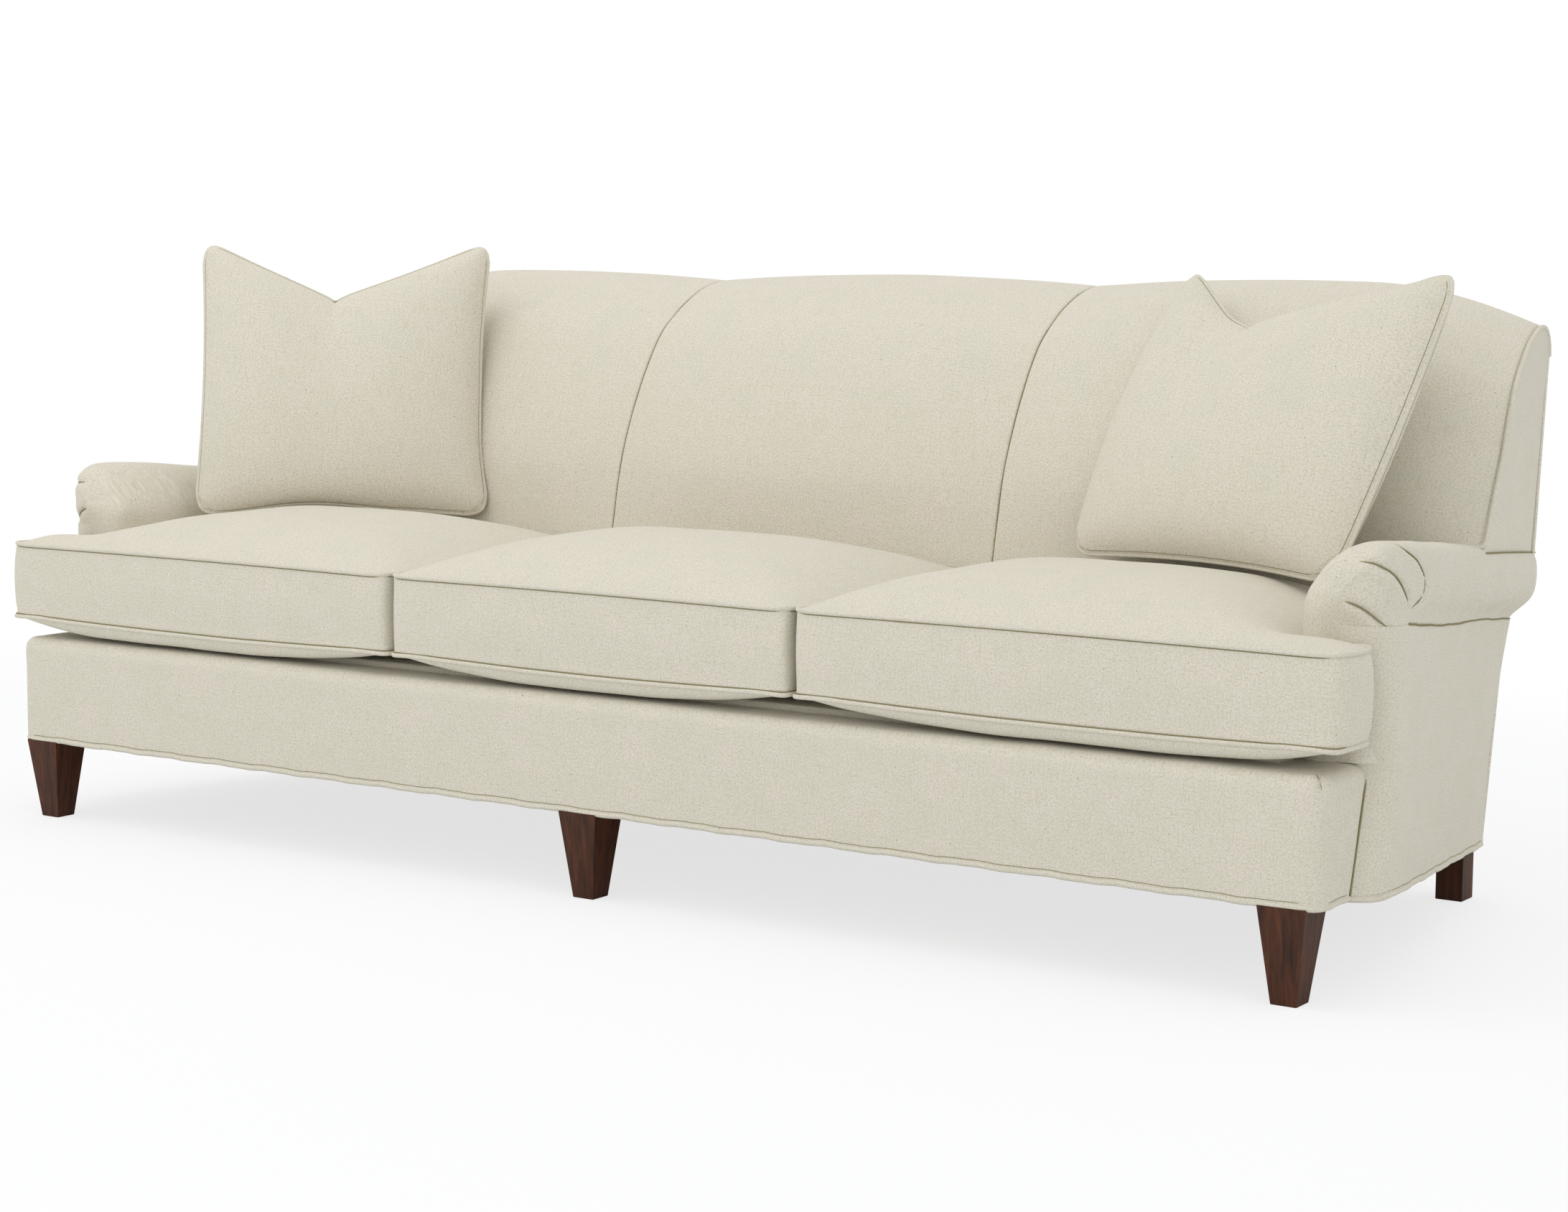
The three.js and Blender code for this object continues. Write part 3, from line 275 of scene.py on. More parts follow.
def pick(piece):
    """Only this piece selected and active."""
    clear()
    piece.select_set(True)
    bpy.context.view_layer.objects.active = piece


def opened(piece):
    """In edit mode, with the whole piece selected."""
    pick(piece)
    bpy.ops.object.mode_set(mode="EDIT")
    bpy.ops.mesh.select_all(action="SELECT")


def merged(piece, distance):
    """Joins the points that stand in one place."""
    opened(piece)
    bpy.ops.mesh.remove_doubles(threshold=distance)
    bpy.ops.object.mode_set(mode="OBJECT")


def face_away(piece, core):
    """Turns an open cloth so that it faces away from a point inside the padding."""
    total = sum(p.area * p.normal.dot(p.center - Vector(core)) for p in piece.data.polygons)
    if total < 0:
        opened(piece)
        bpy.ops.mesh.flip_normals()
        bpy.ops.object.mode_set(mode="OBJECT")


# %% Modifiers and measures of a piece


def modified(piece, name, kind, **settings):
    """Adds a modifier with its settings."""
    modifier = piece.modifiers.new(name, kind)
    for setting, value in settings.items():
        setattr(modifier, setting, value)
    return modifier


def apply_all(piece):
    pick(piece)
    for modifier in list(piece.modifiers):
        bpy.ops.object.modifier_apply(modifier=modifier.name)


def subdivided(piece, levels, **settings):
    modified(piece, "smooth", "SUBSURF", levels=levels, render_levels=levels, **settings)
    apply_all(piece)


def walled(piece, thickness):
    """Gives a cover the thickness of its padding, inwards."""
    modified(piece, "wall", "SOLIDIFY", thickness=thickness, offset=-1, use_rim=True)
    apply_all(piece)


def rows_of(items, name, width=3, kind=float):
    """One measure of every point, face or corner, a row for each."""
    values = np.empty(len(items) * width, kind)
    items.foreach_get(name, values)
    return values.reshape(-1, width)


def places_of(piece):
    return rows_of(piece.data.vertices, "co")


def put(piece, places):
    piece.data.vertices.foreach_set("co", places.ravel())
    piece.data.update()


def pressed(piece, rule):
    """Moves each point along its own direction by a height that the rule works out for all of them."""
    places = places_of(piece)
    put(piece, places + rows_of(piece.data.vertices, "normal") * rule(places)[:, None])


# %% Cloth laid on a form
FINE = 0.0012  # spacing of the points next to a seam
GROWTH = 1.5
CLOSE = 0.00004  # points nearer than this are one


def spot(x, y, z):
    """A place in the room, its depth measured from the front of the base."""
    return Vector((x, FRONT + y, z))


def stops(start, end, coarse, fine_start=True, fine_end=True):
    """Places from start to end, close together near the ends that are seams, and coarse between them."""
    length = end - start
    steps = [0]
    step = FINE
    while step < coarse:
        steps.append(step)
        step *= GROWTH
    run = np.cumsum(steps)
    head = run if fine_start else np.array([0])
    tail = length - (run if fine_end else np.array([0]))[::-1]
    if head[-1] > tail[0]:
        return list(np.linspace(start, end, max(2, round(length / coarse)) + 1))
    middle = np.linspace(head[-1], tail[0], max(1, round((tail[0] - head[-1]) / coarse)) + 1)
    return [start + v for v in (*head[:-1], *middle, *tail[1:])]


def laid(name, across, along, place, core, thickness=0.0, smooth=True, closed=False):
    """Cloth cut as a grid, laid point by point, faced away from a core point, smoothed and given a wall."""
    clear()
    columns, rows = len(across) - 1, len(along) - 1
    bpy.ops.mesh.primitive_grid_add(x_subdivisions=columns, y_subdivisions=rows, size=1)
    piece = bpy.context.object
    piece.name = piece.data.name = name
    mesh = piece.data
    mesh.uv_layers[0].name = "cloth"
    cells = [(round((v.co.x + 0.5) * columns), round((v.co.y + 0.5) * rows)) for v in mesh.vertices]
    for vertex, (i, j) in zip(mesh.vertices, cells):
        vertex.co = place(across[i], along[j])
    cloth = mesh.uv_layers["cloth"].data
    for loop in mesh.loops:
        i, j = cells[loop.vertex_index]
        cloth[loop.index].uv = (across[i], along[j])
    mesh.update()
    face_away(piece, core)
    if closed:
        merged(piece, CLOSE)
    if smooth:
        subdivided(piece, 1, boundary_smooth="PRESERVE_CORNERS")
    if thickness:
        walled(piece, thickness)
    return piece


# %% The map and the finish of a cover
SHARP = math.radians(50)  # a steeper edge than this is shaded sharp
FACING = 0.7  # a face looks along an axis when its normal has this much of it


def facing(way, axis):
    return np.abs(way[:, axis]) > FACING


def mapped(piece, rule):
    """Cloth map in metres, from the place and the direction of each face."""
    mesh = piece.data
    layer = mesh.uv_layers.get("cloth") or mesh.uv_layers.new(name="cloth")
    sizes = rows_of(mesh.polygons, "loop_total", 1, int).ravel()
    corners = rows_of(mesh.loops, "vertex_index", 1, int).ravel()
    at = places_of(piece)[corners]
    way = np.repeat(rows_of(mesh.polygons, "normal"), sizes, axis=0)
    layer.data.foreach_set("uv", np.stack(rule(at, way), axis=1).ravel())


def upholster(piece, body, *replaced, fill=0.9, material=None):
    """Finish, smooth shading, the body it moves with and the solids it stands for."""
    piece.data.materials.clear()
    piece.data.materials.append(material or LINEN)
    pick(piece)
    bpy.ops.object.shade_smooth_by_angle(angle=SHARP)
    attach(piece, body)
    if replaced:
        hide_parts(*replaced)
    print(piece.name, len(piece.data.polygons), "faces")
    return piece


def ripple(*place, size, seed):
    """Smooth unevenness from -1 to 1, the same on every run."""
    return noise.noise(Vector(place) / size + Vector((seed, seed, seed)))


# %% [markdown]
# A welt is a cord wrapped in a strip of the same cloth and sewn into a seam. Here it is a grid rolled round
# the line of the seam: columns go round the cord, rows go along it. A seam without a cord is drawn the same
# way, as a very thin roll in a dark colour: painted shade down in the seam.

# %% Lines of seams


def run_along(line):
    """Distance from the start of a line to each of its points."""
    return np.r_[0, np.cumsum(np.linalg.norm(np.diff(line, axis=0), axis=1))]


def spaced(line, count):
    """The line with its points at equal distances."""
    run = run_along(line)
    wanted = np.linspace(0, run[-1], count + 1)
    return np.stack([np.interp(wanted, run, column) for column in line.T], axis=1)


def evened(points, step, closed=False):
    """The line with its points about a step apart."""
    line = np.array([list(p) for p in points], float)
    if closed:
        line = np.vstack([line, line[:1]])
    return spaced(line, max(3, round(run_along(line)[-1] / step)))


def eased(line, passes, closed):
    """The line with its corners eased."""
    for _ in range(passes):
        if closed:
            body = line[:-1]
            body = (np.roll(body, 1, axis=0) + 2 * body + np.roll(body, -1, axis=0)) / 4
            line = np.vstack([body, body[:1]])
        else:
            line[1:-1] = (line[:-2] + 2 * line[1:-1] + line[2:]) / 4
    return line


# %% Welts and seams
WELT = 0.0033  # radius
WELT_SIDES = 8
WELT_STEP = 0.006
SEAM_RADIUS = 0.0009
SEAM_SIDES = 5
LAID_STEP = 0.003
SINK = 0.0002
ASKEW = (0.3, 0.2, 1.0)  # no seam runs this way, so it gives each welt its first side


def welt(name, points, body, closed=False, radius=WELT, ease=2, sides=WELT_SIDES):
    line = eased(evened(points, WELT_STEP, closed), ease, closed)
    count = len(line) - 1
    ways = np.gradient(line, axis=0)
    if closed:
        ways[0] = ways[-1] = line[1] - line[-2]
    ways /= np.linalg.norm(ways, axis=1)[:, None]
    side = np.cross(ways[0], ASKEW)
    sides_at = []
    for way in ways:
        side = side - way * side.dot(way)
        side = side / np.linalg.norm(side)
        sides_at.append(side)
    twist = 0.0
    if closed:
        other = np.cross(ways[0], sides_at[0])
        twist = math.atan2(sides_at[-1].dot(other), sides_at[-1].dot(sides_at[0]))

    def place(a, s):
        k = round(s / WELT_STEP)
        turn = a / radius - twist * k / count
        out = sides_at[k] * math.cos(turn) + np.cross(ways[k], sides_at[k]) * math.sin(turn)
        return Vector(line[k] + out * radius)

    around = [2 * math.pi * radius * k / sides for k in range(sides + 1)]
    cord = laid(name, around, [k * WELT_STEP for k in range(count + 1)], place, (0, 0, 0), smooth=False)
    opened(cord)
    bpy.ops.mesh.remove_doubles(threshold=radius / 20)
    if not closed:
        bpy.ops.mesh.select_all(action="DESELECT")
        bpy.ops.mesh.select_non_manifold()
        bpy.ops.mesh.edge_face_add()
        bpy.ops.mesh.select_all(action="SELECT")
    bpy.ops.mesh.normals_make_consistent(inside=False)
    bpy.ops.object.mode_set(mode="OBJECT")
    return upholster(cord, body, fill=None)


def seam_shade_line(name, points, body, closed=False, radius=SEAM_RADIUS, ease=2):
    """Painted shade of a seam: a fine roll down in the seam, in the dark colour of the shade there."""
    line = welt(name, points, body, closed, radius, ease, SEAM_SIDES)
    line.data.materials[0] = SEAM_SHADE
    return line


def laid_on(piece, points, sink=SINK):
    """The points brought on to the surface of a piece, and sunk a little."""
    found = []
    for point in evened(points, LAID_STEP):
        _, place, way, _ = piece.closest_point_on_mesh(Vector(point))
        found.append(place - way * sink)
    return found


# %% [markdown]
# The back is one rounded form seen from the side: it rises from the seat, leans back, rolls over the crest
# and falls to the rear edge. Towards both ends it is drawn down and back. The same line carries all three
# panels, so it is worked out once.

# %% Helpers for smooth lines
CURVE_STEPS = 40  # between two points of a smooth line


def clamp(value):
    return max(0.0, min(1.0, value))


def eased_step(value):
    """From 0 to 1 with a soft start and end, for one number or a row of them."""
    value = np.clip(value, 0, 1)
    return value * value * (3 - 2 * value)


def lerp(a, b, share):
    return a + (b - a) * share


def curve_through(points, count):
    """Smooth line through the points at equal distances, and its length."""
    points = np.array(points, float)
    last = len(points) - 1
    dense = []
    for k in range(last):
        before, after = points[max(0, k - 1)], points[min(last, k + 2)]
        here, there = points[k], points[k + 1]
        v0, v1 = (there - before) / 2, (after - here) / 2
        for t in np.linspace(0, 1, CURVE_STEPS, endpoint=k == last - 1):
            cubic = (2 * here - 2 * there + v0 + v1) * t**3 + (3 * there - 3 * here - 2 * v0 - v1) * t**2
            dense.append(cubic + v0 * t + here)
    dense = np.array(dense)
    return spaced(dense, count), np.linalg.norm(np.diff(dense, axis=0), axis=1).sum()


# %% The form of the back
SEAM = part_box("centre_back_panel")[1].x  # from the middle to a seam of the back
SEAT_DEPTH = 0.535
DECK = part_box("seat_deck")[1].z
BACK_RISE = 0.559
BACK_LEAN = 0.320
REAR_FOOT = 0.745
RAKE = 0.22
BACK_HALF = 1.098
BACK_SPLAY = 0.13
SIDE_THICK = 0.012
OUTSIDE_THICK = 0.008
TUCK_RUN = 0.265
TUCK_FROM = BACK_HALF - TUCK_RUN - 0.024
TUCK_LOW = DECK + 0.27 * BACK_RISE
TUCK_POWER = 1.7
TUCK_DROP = 0.135  # the ends are drawn down by this share
TUCK_BACK = 0.18  # and back by this share, from the height of the grip upwards
GRIP_LOW = 0.31
GRIP_RUN = 0.36
FOOT_LIFT = 0.0003  # the foot of the back stays this far above the deck
BACK_SHARES = (
    (0, 0), (0.012, 0.24), (0.035, 0.32), (0.094, 0.479), (0.178, 0.608), (0.29, 0.732), (0.422, 0.841),
    (0.547, 0.9), (0.672, 0.945), (0.828, 0.982), (1, 1), (1.12, 0.985), (1.185, 0.945), (1.2, 0.9),
)
PROFILE_STEPS = 160
PROFILE, PROFILE_LENGTH = curve_through(
    [(SEAT_DEPTH + y * BACK_LEAN, DECK + z * BACK_RISE) for y, z in BACK_SHARES], PROFILE_STEPS
)
PROFILE_WAY = np.gradient(PROFILE, axis=0)
PROFILE_WAY /= np.linalg.norm(PROFILE_WAY, axis=1)[:, None]


def rear_at(z):
    return REAR_FOOT + RAKE * z


def back_side_at(y):
    return BACK_HALF - BACK_SPLAY * (y - SEAT_DEPTH)


def tucked(x, y, z):
    """Depth and height of a point of the back, drawn down and back near its ends."""
    amount = (max(0, abs(x) - TUCK_FROM) / TUCK_RUN) ** TUCK_POWER
    grip = clamp((z - DECK - GRIP_LOW * BACK_RISE) / (GRIP_RUN * BACK_RISE))
    height = TUCK_LOW + (z - TUCK_LOW) * (1 - TUCK_DROP * amount) if z > TUCK_LOW else z
    rear = rear_at(z)
    return rear - (rear - y) * (1 - TUCK_BACK * amount * grip), height


def back_point(s, stand):
    """Depth and height of the profile, s metres up its length and standing out by stand."""
    at = clamp(s / PROFILE_LENGTH) * PROFILE_STEPS
    k = min(int(at), PROFILE_STEPS - 1)
    y, z = lerp(PROFILE[k], PROFILE[k + 1], at - k)
    wy, wz = lerp(PROFILE_WAY[k], PROFILE_WAY[k + 1], at - k)
    return y - wz * stand, max(DECK + FOOT_LIFT, z + wy * stand)


print("profile of the back", round(PROFILE_LENGTH, 3), "m")

# %% [markdown]
# Each panel of the back swells a little between its seams and dives into them, because the seam is pulled
# tight to the frame. The cloth gathers very slightly along a seam. The outer panels end behind the arms, so
# the form of the arm's inner side and top is needed here already.

# %% Where the arms stand
ARM_TOP = 0.567
ARM_FALL = 0.1
ARM_NOSE = 0.106
NOSE_DIP = 0.007
NOSE_DIP_RUN = 0.07
ROLL_HEIGHT = 0.101
ARM_OUTER = 1.150
ARM_INNER = 1.033
INNER_SPLAY = 0.15
END_LAP = 0.01  # the outer panel of the back goes this far in behind the arm
END_LOW = 0.05  # and leaves it from here below the arm's top
END_RUN = 0.04


def arm_top_at(y):
    """The top of the arm falls to the rear, and a little at its nose."""
    return ARM_TOP - ARM_FALL * (y - ARM_NOSE) - NOSE_DIP * np.exp(-((y - ARM_NOSE) / NOSE_DIP_RUN))


def arm_inner_at(y):
    return ARM_INNER - INNER_SPLAY * (y - ARM_NOSE)


def back_end(y, z):
    """Where the outer panel ends: behind the arm below, at the boxed side above it."""
    above = float(eased_step((z - arm_top_at(y) + END_LOW) / END_RUN))
    return lerp(arm_inner_at(y) + END_LAP, back_side_at(y) - SIDE_THICK / 2, above)


# %% Panels of the back
PANEL_CROWN = 0.014
CROWN_POWER = 2.2
CROWN_LOW = 0.2  # the crown starts at this share of the height
CROWN_RATE = 8
SHOULDER = 0.0045  # radius of the cloth where it turns into a seam
GATHER = 0.0011
GATHER_RUN = 0.022
GATHER_SIZE = 0.03
UNEVEN = 0.0012  # the padding is this uneven, in patches of this size, and even near a seam
UNEVEN_SIZE = 0.16
UNEVEN_FADE = 0.05
PANEL_WALL = 0.014
PANEL_GAP = 0.0002
BACK_CELLS = (0.026, 0.02)  # sizes of the grid across and up
BACK_CORE = (0.85, 0.55)  # depth and height of a point inside the back
SEAM_SINK = 0.0026
SEAM_LOW = 0.02
SEAM_TOP = 0.003
SEAM_POINTS = 120


def crown(share, rise):
    rise_in = clamp(CROWN_RATE * min(rise - CROWN_LOW, 1 - rise))
    return PANEL_CROWN * (1 - abs(2 * share - 1) ** CROWN_POWER) * rise_in


def shoulder(distance, radius=SHOULDER):
    """How far the cloth has turned in at a distance from its seam."""
    if distance >= radius:
        return 0.0
    return radius - math.sqrt(max(0.0, radius**2 - (radius - distance) ** 2))


def gathers(distance, along, seed):
    """Small folds that run out from a seam."""
    return GATHER * math.exp(-distance / GATHER_RUN) * ripple(along, 0, 0, size=GATHER_SIZE, seed=seed)


def panel_of_back(name, x_start, x_end, side, replaced):
    """x_start is a number, and x_end a function of depth and height."""
    width = x_end(SEAT_DEPTH, 1.0) - x_start
    across = stops(0, width, BACK_CELLS[0])
    along = stops(0, PROFILE_LENGTH, BACK_CELLS[1], fine_start=False)

    def place(a, s):
        share, rise = a / width, s / PROFILE_LENGTH
        stand = crown(share, rise)
        edge = min(a, width - a)
        stand -= shoulder(edge) - gathers(edge, s, x_start * 10 + side)
        stand -= shoulder(PROFILE_LENGTH - s)
        stand += UNEVEN * ripple(a, s, x_start, size=UNEVEN_SIZE, seed=side) * clamp(edge / UNEVEN_FADE)
        y, z = back_point(s, stand)
        y, z = tucked(lerp(x_start, x_end(y, z), share), y, z)
        return spot(side * lerp(x_start, x_end(y, z), share), y, z)

    core = spot(side * (x_start + width / 2), *BACK_CORE)
    piece = laid(name, across, along, place, core, PANEL_WALL)
    return upholster(piece, "sofa", replaced)


# A seam between two panels of the back is drawn as a thin line of painted shade.
def back_seam_shade(x, word):
    run = np.linspace(SEAM_LOW, PROFILE_LENGTH - SEAM_TOP, SEAM_POINTS)
    seam_shade_line(f"{word}_back_seam", [spot(x, *back_point(s, -SEAM_SINK)) for s in run], "sofa")


for side, word in SIDES:
    back_seam_shade(side * SEAM, word)
panel_of_back("centre_back_cover", -SEAM, lambda y, z: SEAM, 1, "centre_back_panel")
for side, word in SIDES:
    panel_of_back(f"{word}_back_cover", SEAM + PANEL_GAP, back_end, side, f"{word}_back_panel")


# %% [markdown]
# The ends of the back are boxed: a flat strip of cloth closes each end, with a welt down its front edge. A
# ruled surface does it, from the end of the panel to the line of the rear edge. Its wall goes straight
# inwards, because along the normals of such a narrow strip it would turn over at the upper rear corner.

# %% Boxed sides of the back
SIDE_LOW = 0.500  # the boxing reaches down into the arm's roll, and at its rear
SIDE_REAR_LOW = 0.462
SIDE_WALL = SIDE_THICK * 0.8
SIDE_END = 0.004  # the boxing stops short of the rear edge, where it would run to a point
SIDE_WIDTH = 0.24
SIDE_CELLS = (0.02, 0.014)
SIDE_SET_IN = 0.0006
SIDE_TAPER = 0.15  # the rear edge moves to the outside back over this last share of the height
SIDE_TURN = 0.003
SIDE_UNEVEN = 0.0011
SIDE_UNEVEN_SIZE = 0.11
SIDE_UNEVEN_FADE = 0.02
SIDE_CORE = (0.8, 0.65)  # depth and height of a point inside, 0.9 from the middle
WELT_OUT = 0.002  # a welt stands this far proud of its seam
WELT_STRAY = 0.0008
WELT_STRAY_SIZE = 0.05
WELT_LOW = 0.02
WELT_POINTS = 60
# Across, forward and up from the foot of the welt, where it runs in along the arm
WELT_INWARD = (
    (1.075, 0.004, 0.001), (1.055, 0.012, 0.003), (1.03, 0.022, 0.004), (1.0, 0.036, 0.004),
    (0.975, 0.048, 0.0),
)


def end_edge(s):
    """Depth and height of the outer end of the back, s metres up the profile."""
    y, z = back_point(s, 0)
    return tucked(back_side_at(y), y, z)


side_from = next(s for s in np.linspace(0, PROFILE_LENGTH, 400) if end_edge(s)[1] > SIDE_LOW)
top_height = end_edge(PROFILE_LENGTH)[1]


def side_of_back(side, word):
    length = PROFILE_LENGTH - SIDE_END - side_from
    across = stops(0, SIDE_WIDTH, SIDE_CELLS[0])
    along = stops(0, length, SIDE_CELLS[1], fine_start=False, fine_end=False)

    def place(a, s):
        share, rise = a / SIDE_WIDTH, s / length
        front = end_edge(side_from + s)
        rear_z = lerp(SIDE_REAR_LOW, top_height, rise)
        rear_y = rear_at(rear_z) - OUTSIDE_THICK * eased_step((1 - rise) / SIDE_TAPER)
        y, z = lerp(front[0], rear_y, share), lerp(front[1], rear_z, share)
        edge = min(share, 1 - share) * math.dist(front, (rear_y, rear_z))
        uneven = SIDE_UNEVEN * ripple(y, z, 0, size=SIDE_UNEVEN_SIZE, seed=side + 4)
        flat = back_side_at(y) - shoulder(edge, SIDE_TURN) - SIDE_SET_IN
        flat += uneven * clamp(edge / SIDE_UNEVEN_FADE)
        return spot(side * flat, y, z)

    piece = laid(f"{word}_back_boxing", across, along, place, spot(side * 0.9, *SIDE_CORE))
    outer = len(piece.data.vertices)
    walled(piece, SIDE_WALL)
    places = places_of(piece)
    places[outer:] = places[:outer] - (side * SIDE_WALL, 0, 0)
    put(piece, places)
    upholster(piece, "sofa", f"{word}_back_side")


def back_welt(side, word):
    down = []
    for s in np.linspace(PROFILE_LENGTH - SIDE_END, side_from + WELT_LOW, WELT_POINTS):
        y, z = end_edge(s)
        wave = WELT_STRAY * ripple(s, 0, 0, size=WELT_STRAY_SIZE, seed=side)
        down.append(Vector((side * (back_side_at(y) + wave - WELT + WELT_OUT), FRONT + y - WELT_OUT, z)))
    foot = down[-1]
    inward = [Vector((side * x, foot.y - forward, foot.z + rise)) for x, forward, rise in WELT_INWARD]
    welt(f"{word}_back_welt", down + inward, "sofa", ease=3)


for side, word in SIDES:
    side_of_back(side, word)
    back_welt(side, word)

# %% [markdown]
# An arm is a low roll. Its section is one line: up the inside, over the top, round the bulge and in to the
# seam below it. The section runs on behind the outer panel, where it isn't seen. A row of numbers, one for
# each point of the section, says where it lies, so one formula places the whole line at any depth.

# %% The section of an arm
ROLL_SPLAY = 0.110
PANEL_OUTER = 1.146
PANEL_FRONT = 0.111
PANEL_CORNER = 0.050
PANEL_SPLAY = 0.192
PANEL_THICK = 0.010
PANEL_CLEAR = 0.0005
FLARE = 0.018
FLARE_FROM = 0.25
FLARE_RUN = 0.55
FLARE_GROWTH = 1.5
ARM_LOW = 0.2885
ROLL_SHARES = (
    (0, -1), (0, -0.75), (0.08, -0.52), (0.25, -0.28), (0.47, -0.09), (0.7, 0), (0.88, -0.02), (0.97, -0.12),
    (1, -0.32), (1, -0.55), (0.97, -0.78), (0.85, -1),
)
ROLL_STEPS = 600
SIDE_STEPS = 44
PLAIN_STEPS = 10
NOSE_TAPER = 0.010
NOSE_TAPER_RUN = 0.05
SEAM_TUCK = 0.001
SEAM_DIP = 0.0055
DIP_FROM = 0.20
DIP_RUN = 0.42
SEAM_STRAY = 0.25
HANG_GROW = 2.2

roll_size = np.array([ARM_OUTER - ARM_INNER, ROLL_HEIGHT])
roll_line, _ = curve_through(np.array(ROLL_SHARES) * roll_size, ROLL_STEPS)
roll_top = int(np.argmax(roll_line[:, 1]))
plain = np.linspace(0, 1, PLAIN_STEPS, endpoint=False)
inner_half = spaced(roll_line[: roll_top + 1], SIDE_STEPS) / roll_size
outer_half = spaced(roll_line[roll_top:], SIDE_STEPS) / roll_size
ACROSS = np.r_[plain * 0, inner_half[:, 0], outer_half[1:, 0], plain * 0 + 1]
FALL = np.r_[plain * 0 - 1, inner_half[:, 1], outer_half[1:, 1], plain * 0 - 1]
FOOT = np.r_[1 - plain, np.zeros(2 * SIDE_STEPS + 1), np.linspace(0, 1, PLAIN_STEPS + 1)[1:]]
HANG = np.where(ACROSS > 0.5, np.clip(-1 - 2 * FALL, 0, 1) ** HANG_GROW, 0)
HIDDEN = np.r_[np.zeros(PLAIN_STEPS + 2 * SIDE_STEPS + 1), np.ones(PLAIN_STEPS)]


def panel_line(y):
    return PANEL_OUTER - PANEL_SPLAY * np.maximum(0, y - PANEL_FRONT - PANEL_CORNER)


def flare(y):
    """The outer panel widens under the rear of the roll."""
    return FLARE * np.clip((y - FLARE_FROM) / FLARE_RUN, 0, 1) ** FLARE_GROWTH


def wander(run, seed=0.0):
    """A hand-sewn line strays a little to either side, in two waves."""
    return 0.0018 * np.sin(57 * run + 1.3 + seed) + 0.0011 * np.sin(131 * run + 0.4 + 2 * seed)


def seam_wave(y):
    """The seam under the roll dips in its middle."""
    dip = np.sin(math.pi * np.clip((y - DIP_FROM) / DIP_RUN, 0, 1))
    return SEAM_STRAY * wander(y) - SEAM_DIP * dip


def arm_section(y):
    """Across and up of the points of the section at a depth, or of each point at its own depth."""
    low, top = arm_inner_at(y), arm_top_at(y)
    high = ARM_OUTER - ROLL_SPLAY * (y - ARM_NOSE) - NOSE_TAPER * np.exp(-(y - ARM_NOSE) / NOSE_TAPER_RUN)
    seam = panel_line(y) + flare(y) - SEAM_TUCK - HIDDEN * (PANEL_THICK + PANEL_CLEAR)
    x = lerp(lerp(low, high, ACROSS), seam, HANG)
    z = top + FALL * ROLL_HEIGHT + seam_wave(y) * HANG * (1 - HIDDEN)
    return x, lerp(z, ARM_LOW, FOOT)


print("section of an arm", len(ACROSS), "points")

# %% [markdown]
# At the front the section turns in to a dome, and a ladder of rows closes the face. Where the ladder closes
# to a point its rows pinch, so the finished face is evened out.

# %% The dome of an arm
DOME_ROWS = 14
NOSE_RADIUS = 0.054
NOSE_CLEAR = 0.012
INNER_RADIUS = 0.026
MOST_INSET = 0.88  # of the way to the middle of the arm
ROLL_PART = 0.8  # the wide round of the nose is reached over this part of the roll's height
HANG_BACK = 0.010


def arm_dome():
    """Rows of the dome at the front, and the depths at which the section goes on behind it."""
    x, z = arm_section(ARM_NOSE)
    core_x = (ARM_INNER + ARM_OUTER) / 2
    core_z = np.clip(z, ARM_LOW, ARM_TOP - NOSE_RADIUS - NOSE_CLEAR)
    reach = np.hypot(core_x - x, core_z - z)
    way_x, way_z = (core_x - x) / reach, (core_z - z) / reach
    high = eased_step((z - ARM_TOP + ROLL_HEIGHT) / (ROLL_PART * ROLL_HEIGHT))
    radius = np.where(ACROSS > 0.5, NOSE_RADIUS, lerp(INNER_RADIUS, NOSE_RADIUS, high))
    radius = np.minimum(radius, MOST_INSET * reach)
    front = ARM_NOSE + HANG_BACK * HANG
    dome = []
    for turn in np.linspace(0, math.pi / 2, DOME_ROWS):
        y = front + radius * (1 - math.cos(turn))
        x, z = arm_section(y)
        inset = radius * (1 - math.sin(turn))
        dome.append(np.stack([x + way_x * inset, y, z + way_z * inset], axis=1))
    return dome, front + radius


# %% Rows of an arm
FACE_ROWS = 9
RUN_ROWS = 34
RUN_GROWTH = 1.5
CLOSING = (0.04, 0.3, 0.65, 1.0)  # the rear end closes in these shares
FACE_SWELL = 0.004  # the face swells this far, where it is this wide or wider
FACE_WIDE = 0.030
FACE_LOW = 0.44
FACE_RISE = 0.05
# How far the nose of the left arm is set back and lowered, over which distance, and from which height on
LEFT_BACK = 0.020
LEFT_BACK_RUN = 0.12
LEFT_BACK_LOW = 0.30
LEFT_BACK_RISE = 0.10
LEFT_DROP = 0.016
LEFT_DROP_RUN = 0.05
LEFT_DROP_LOW = 0.46
LEFT_DROP_RISE = 0.09


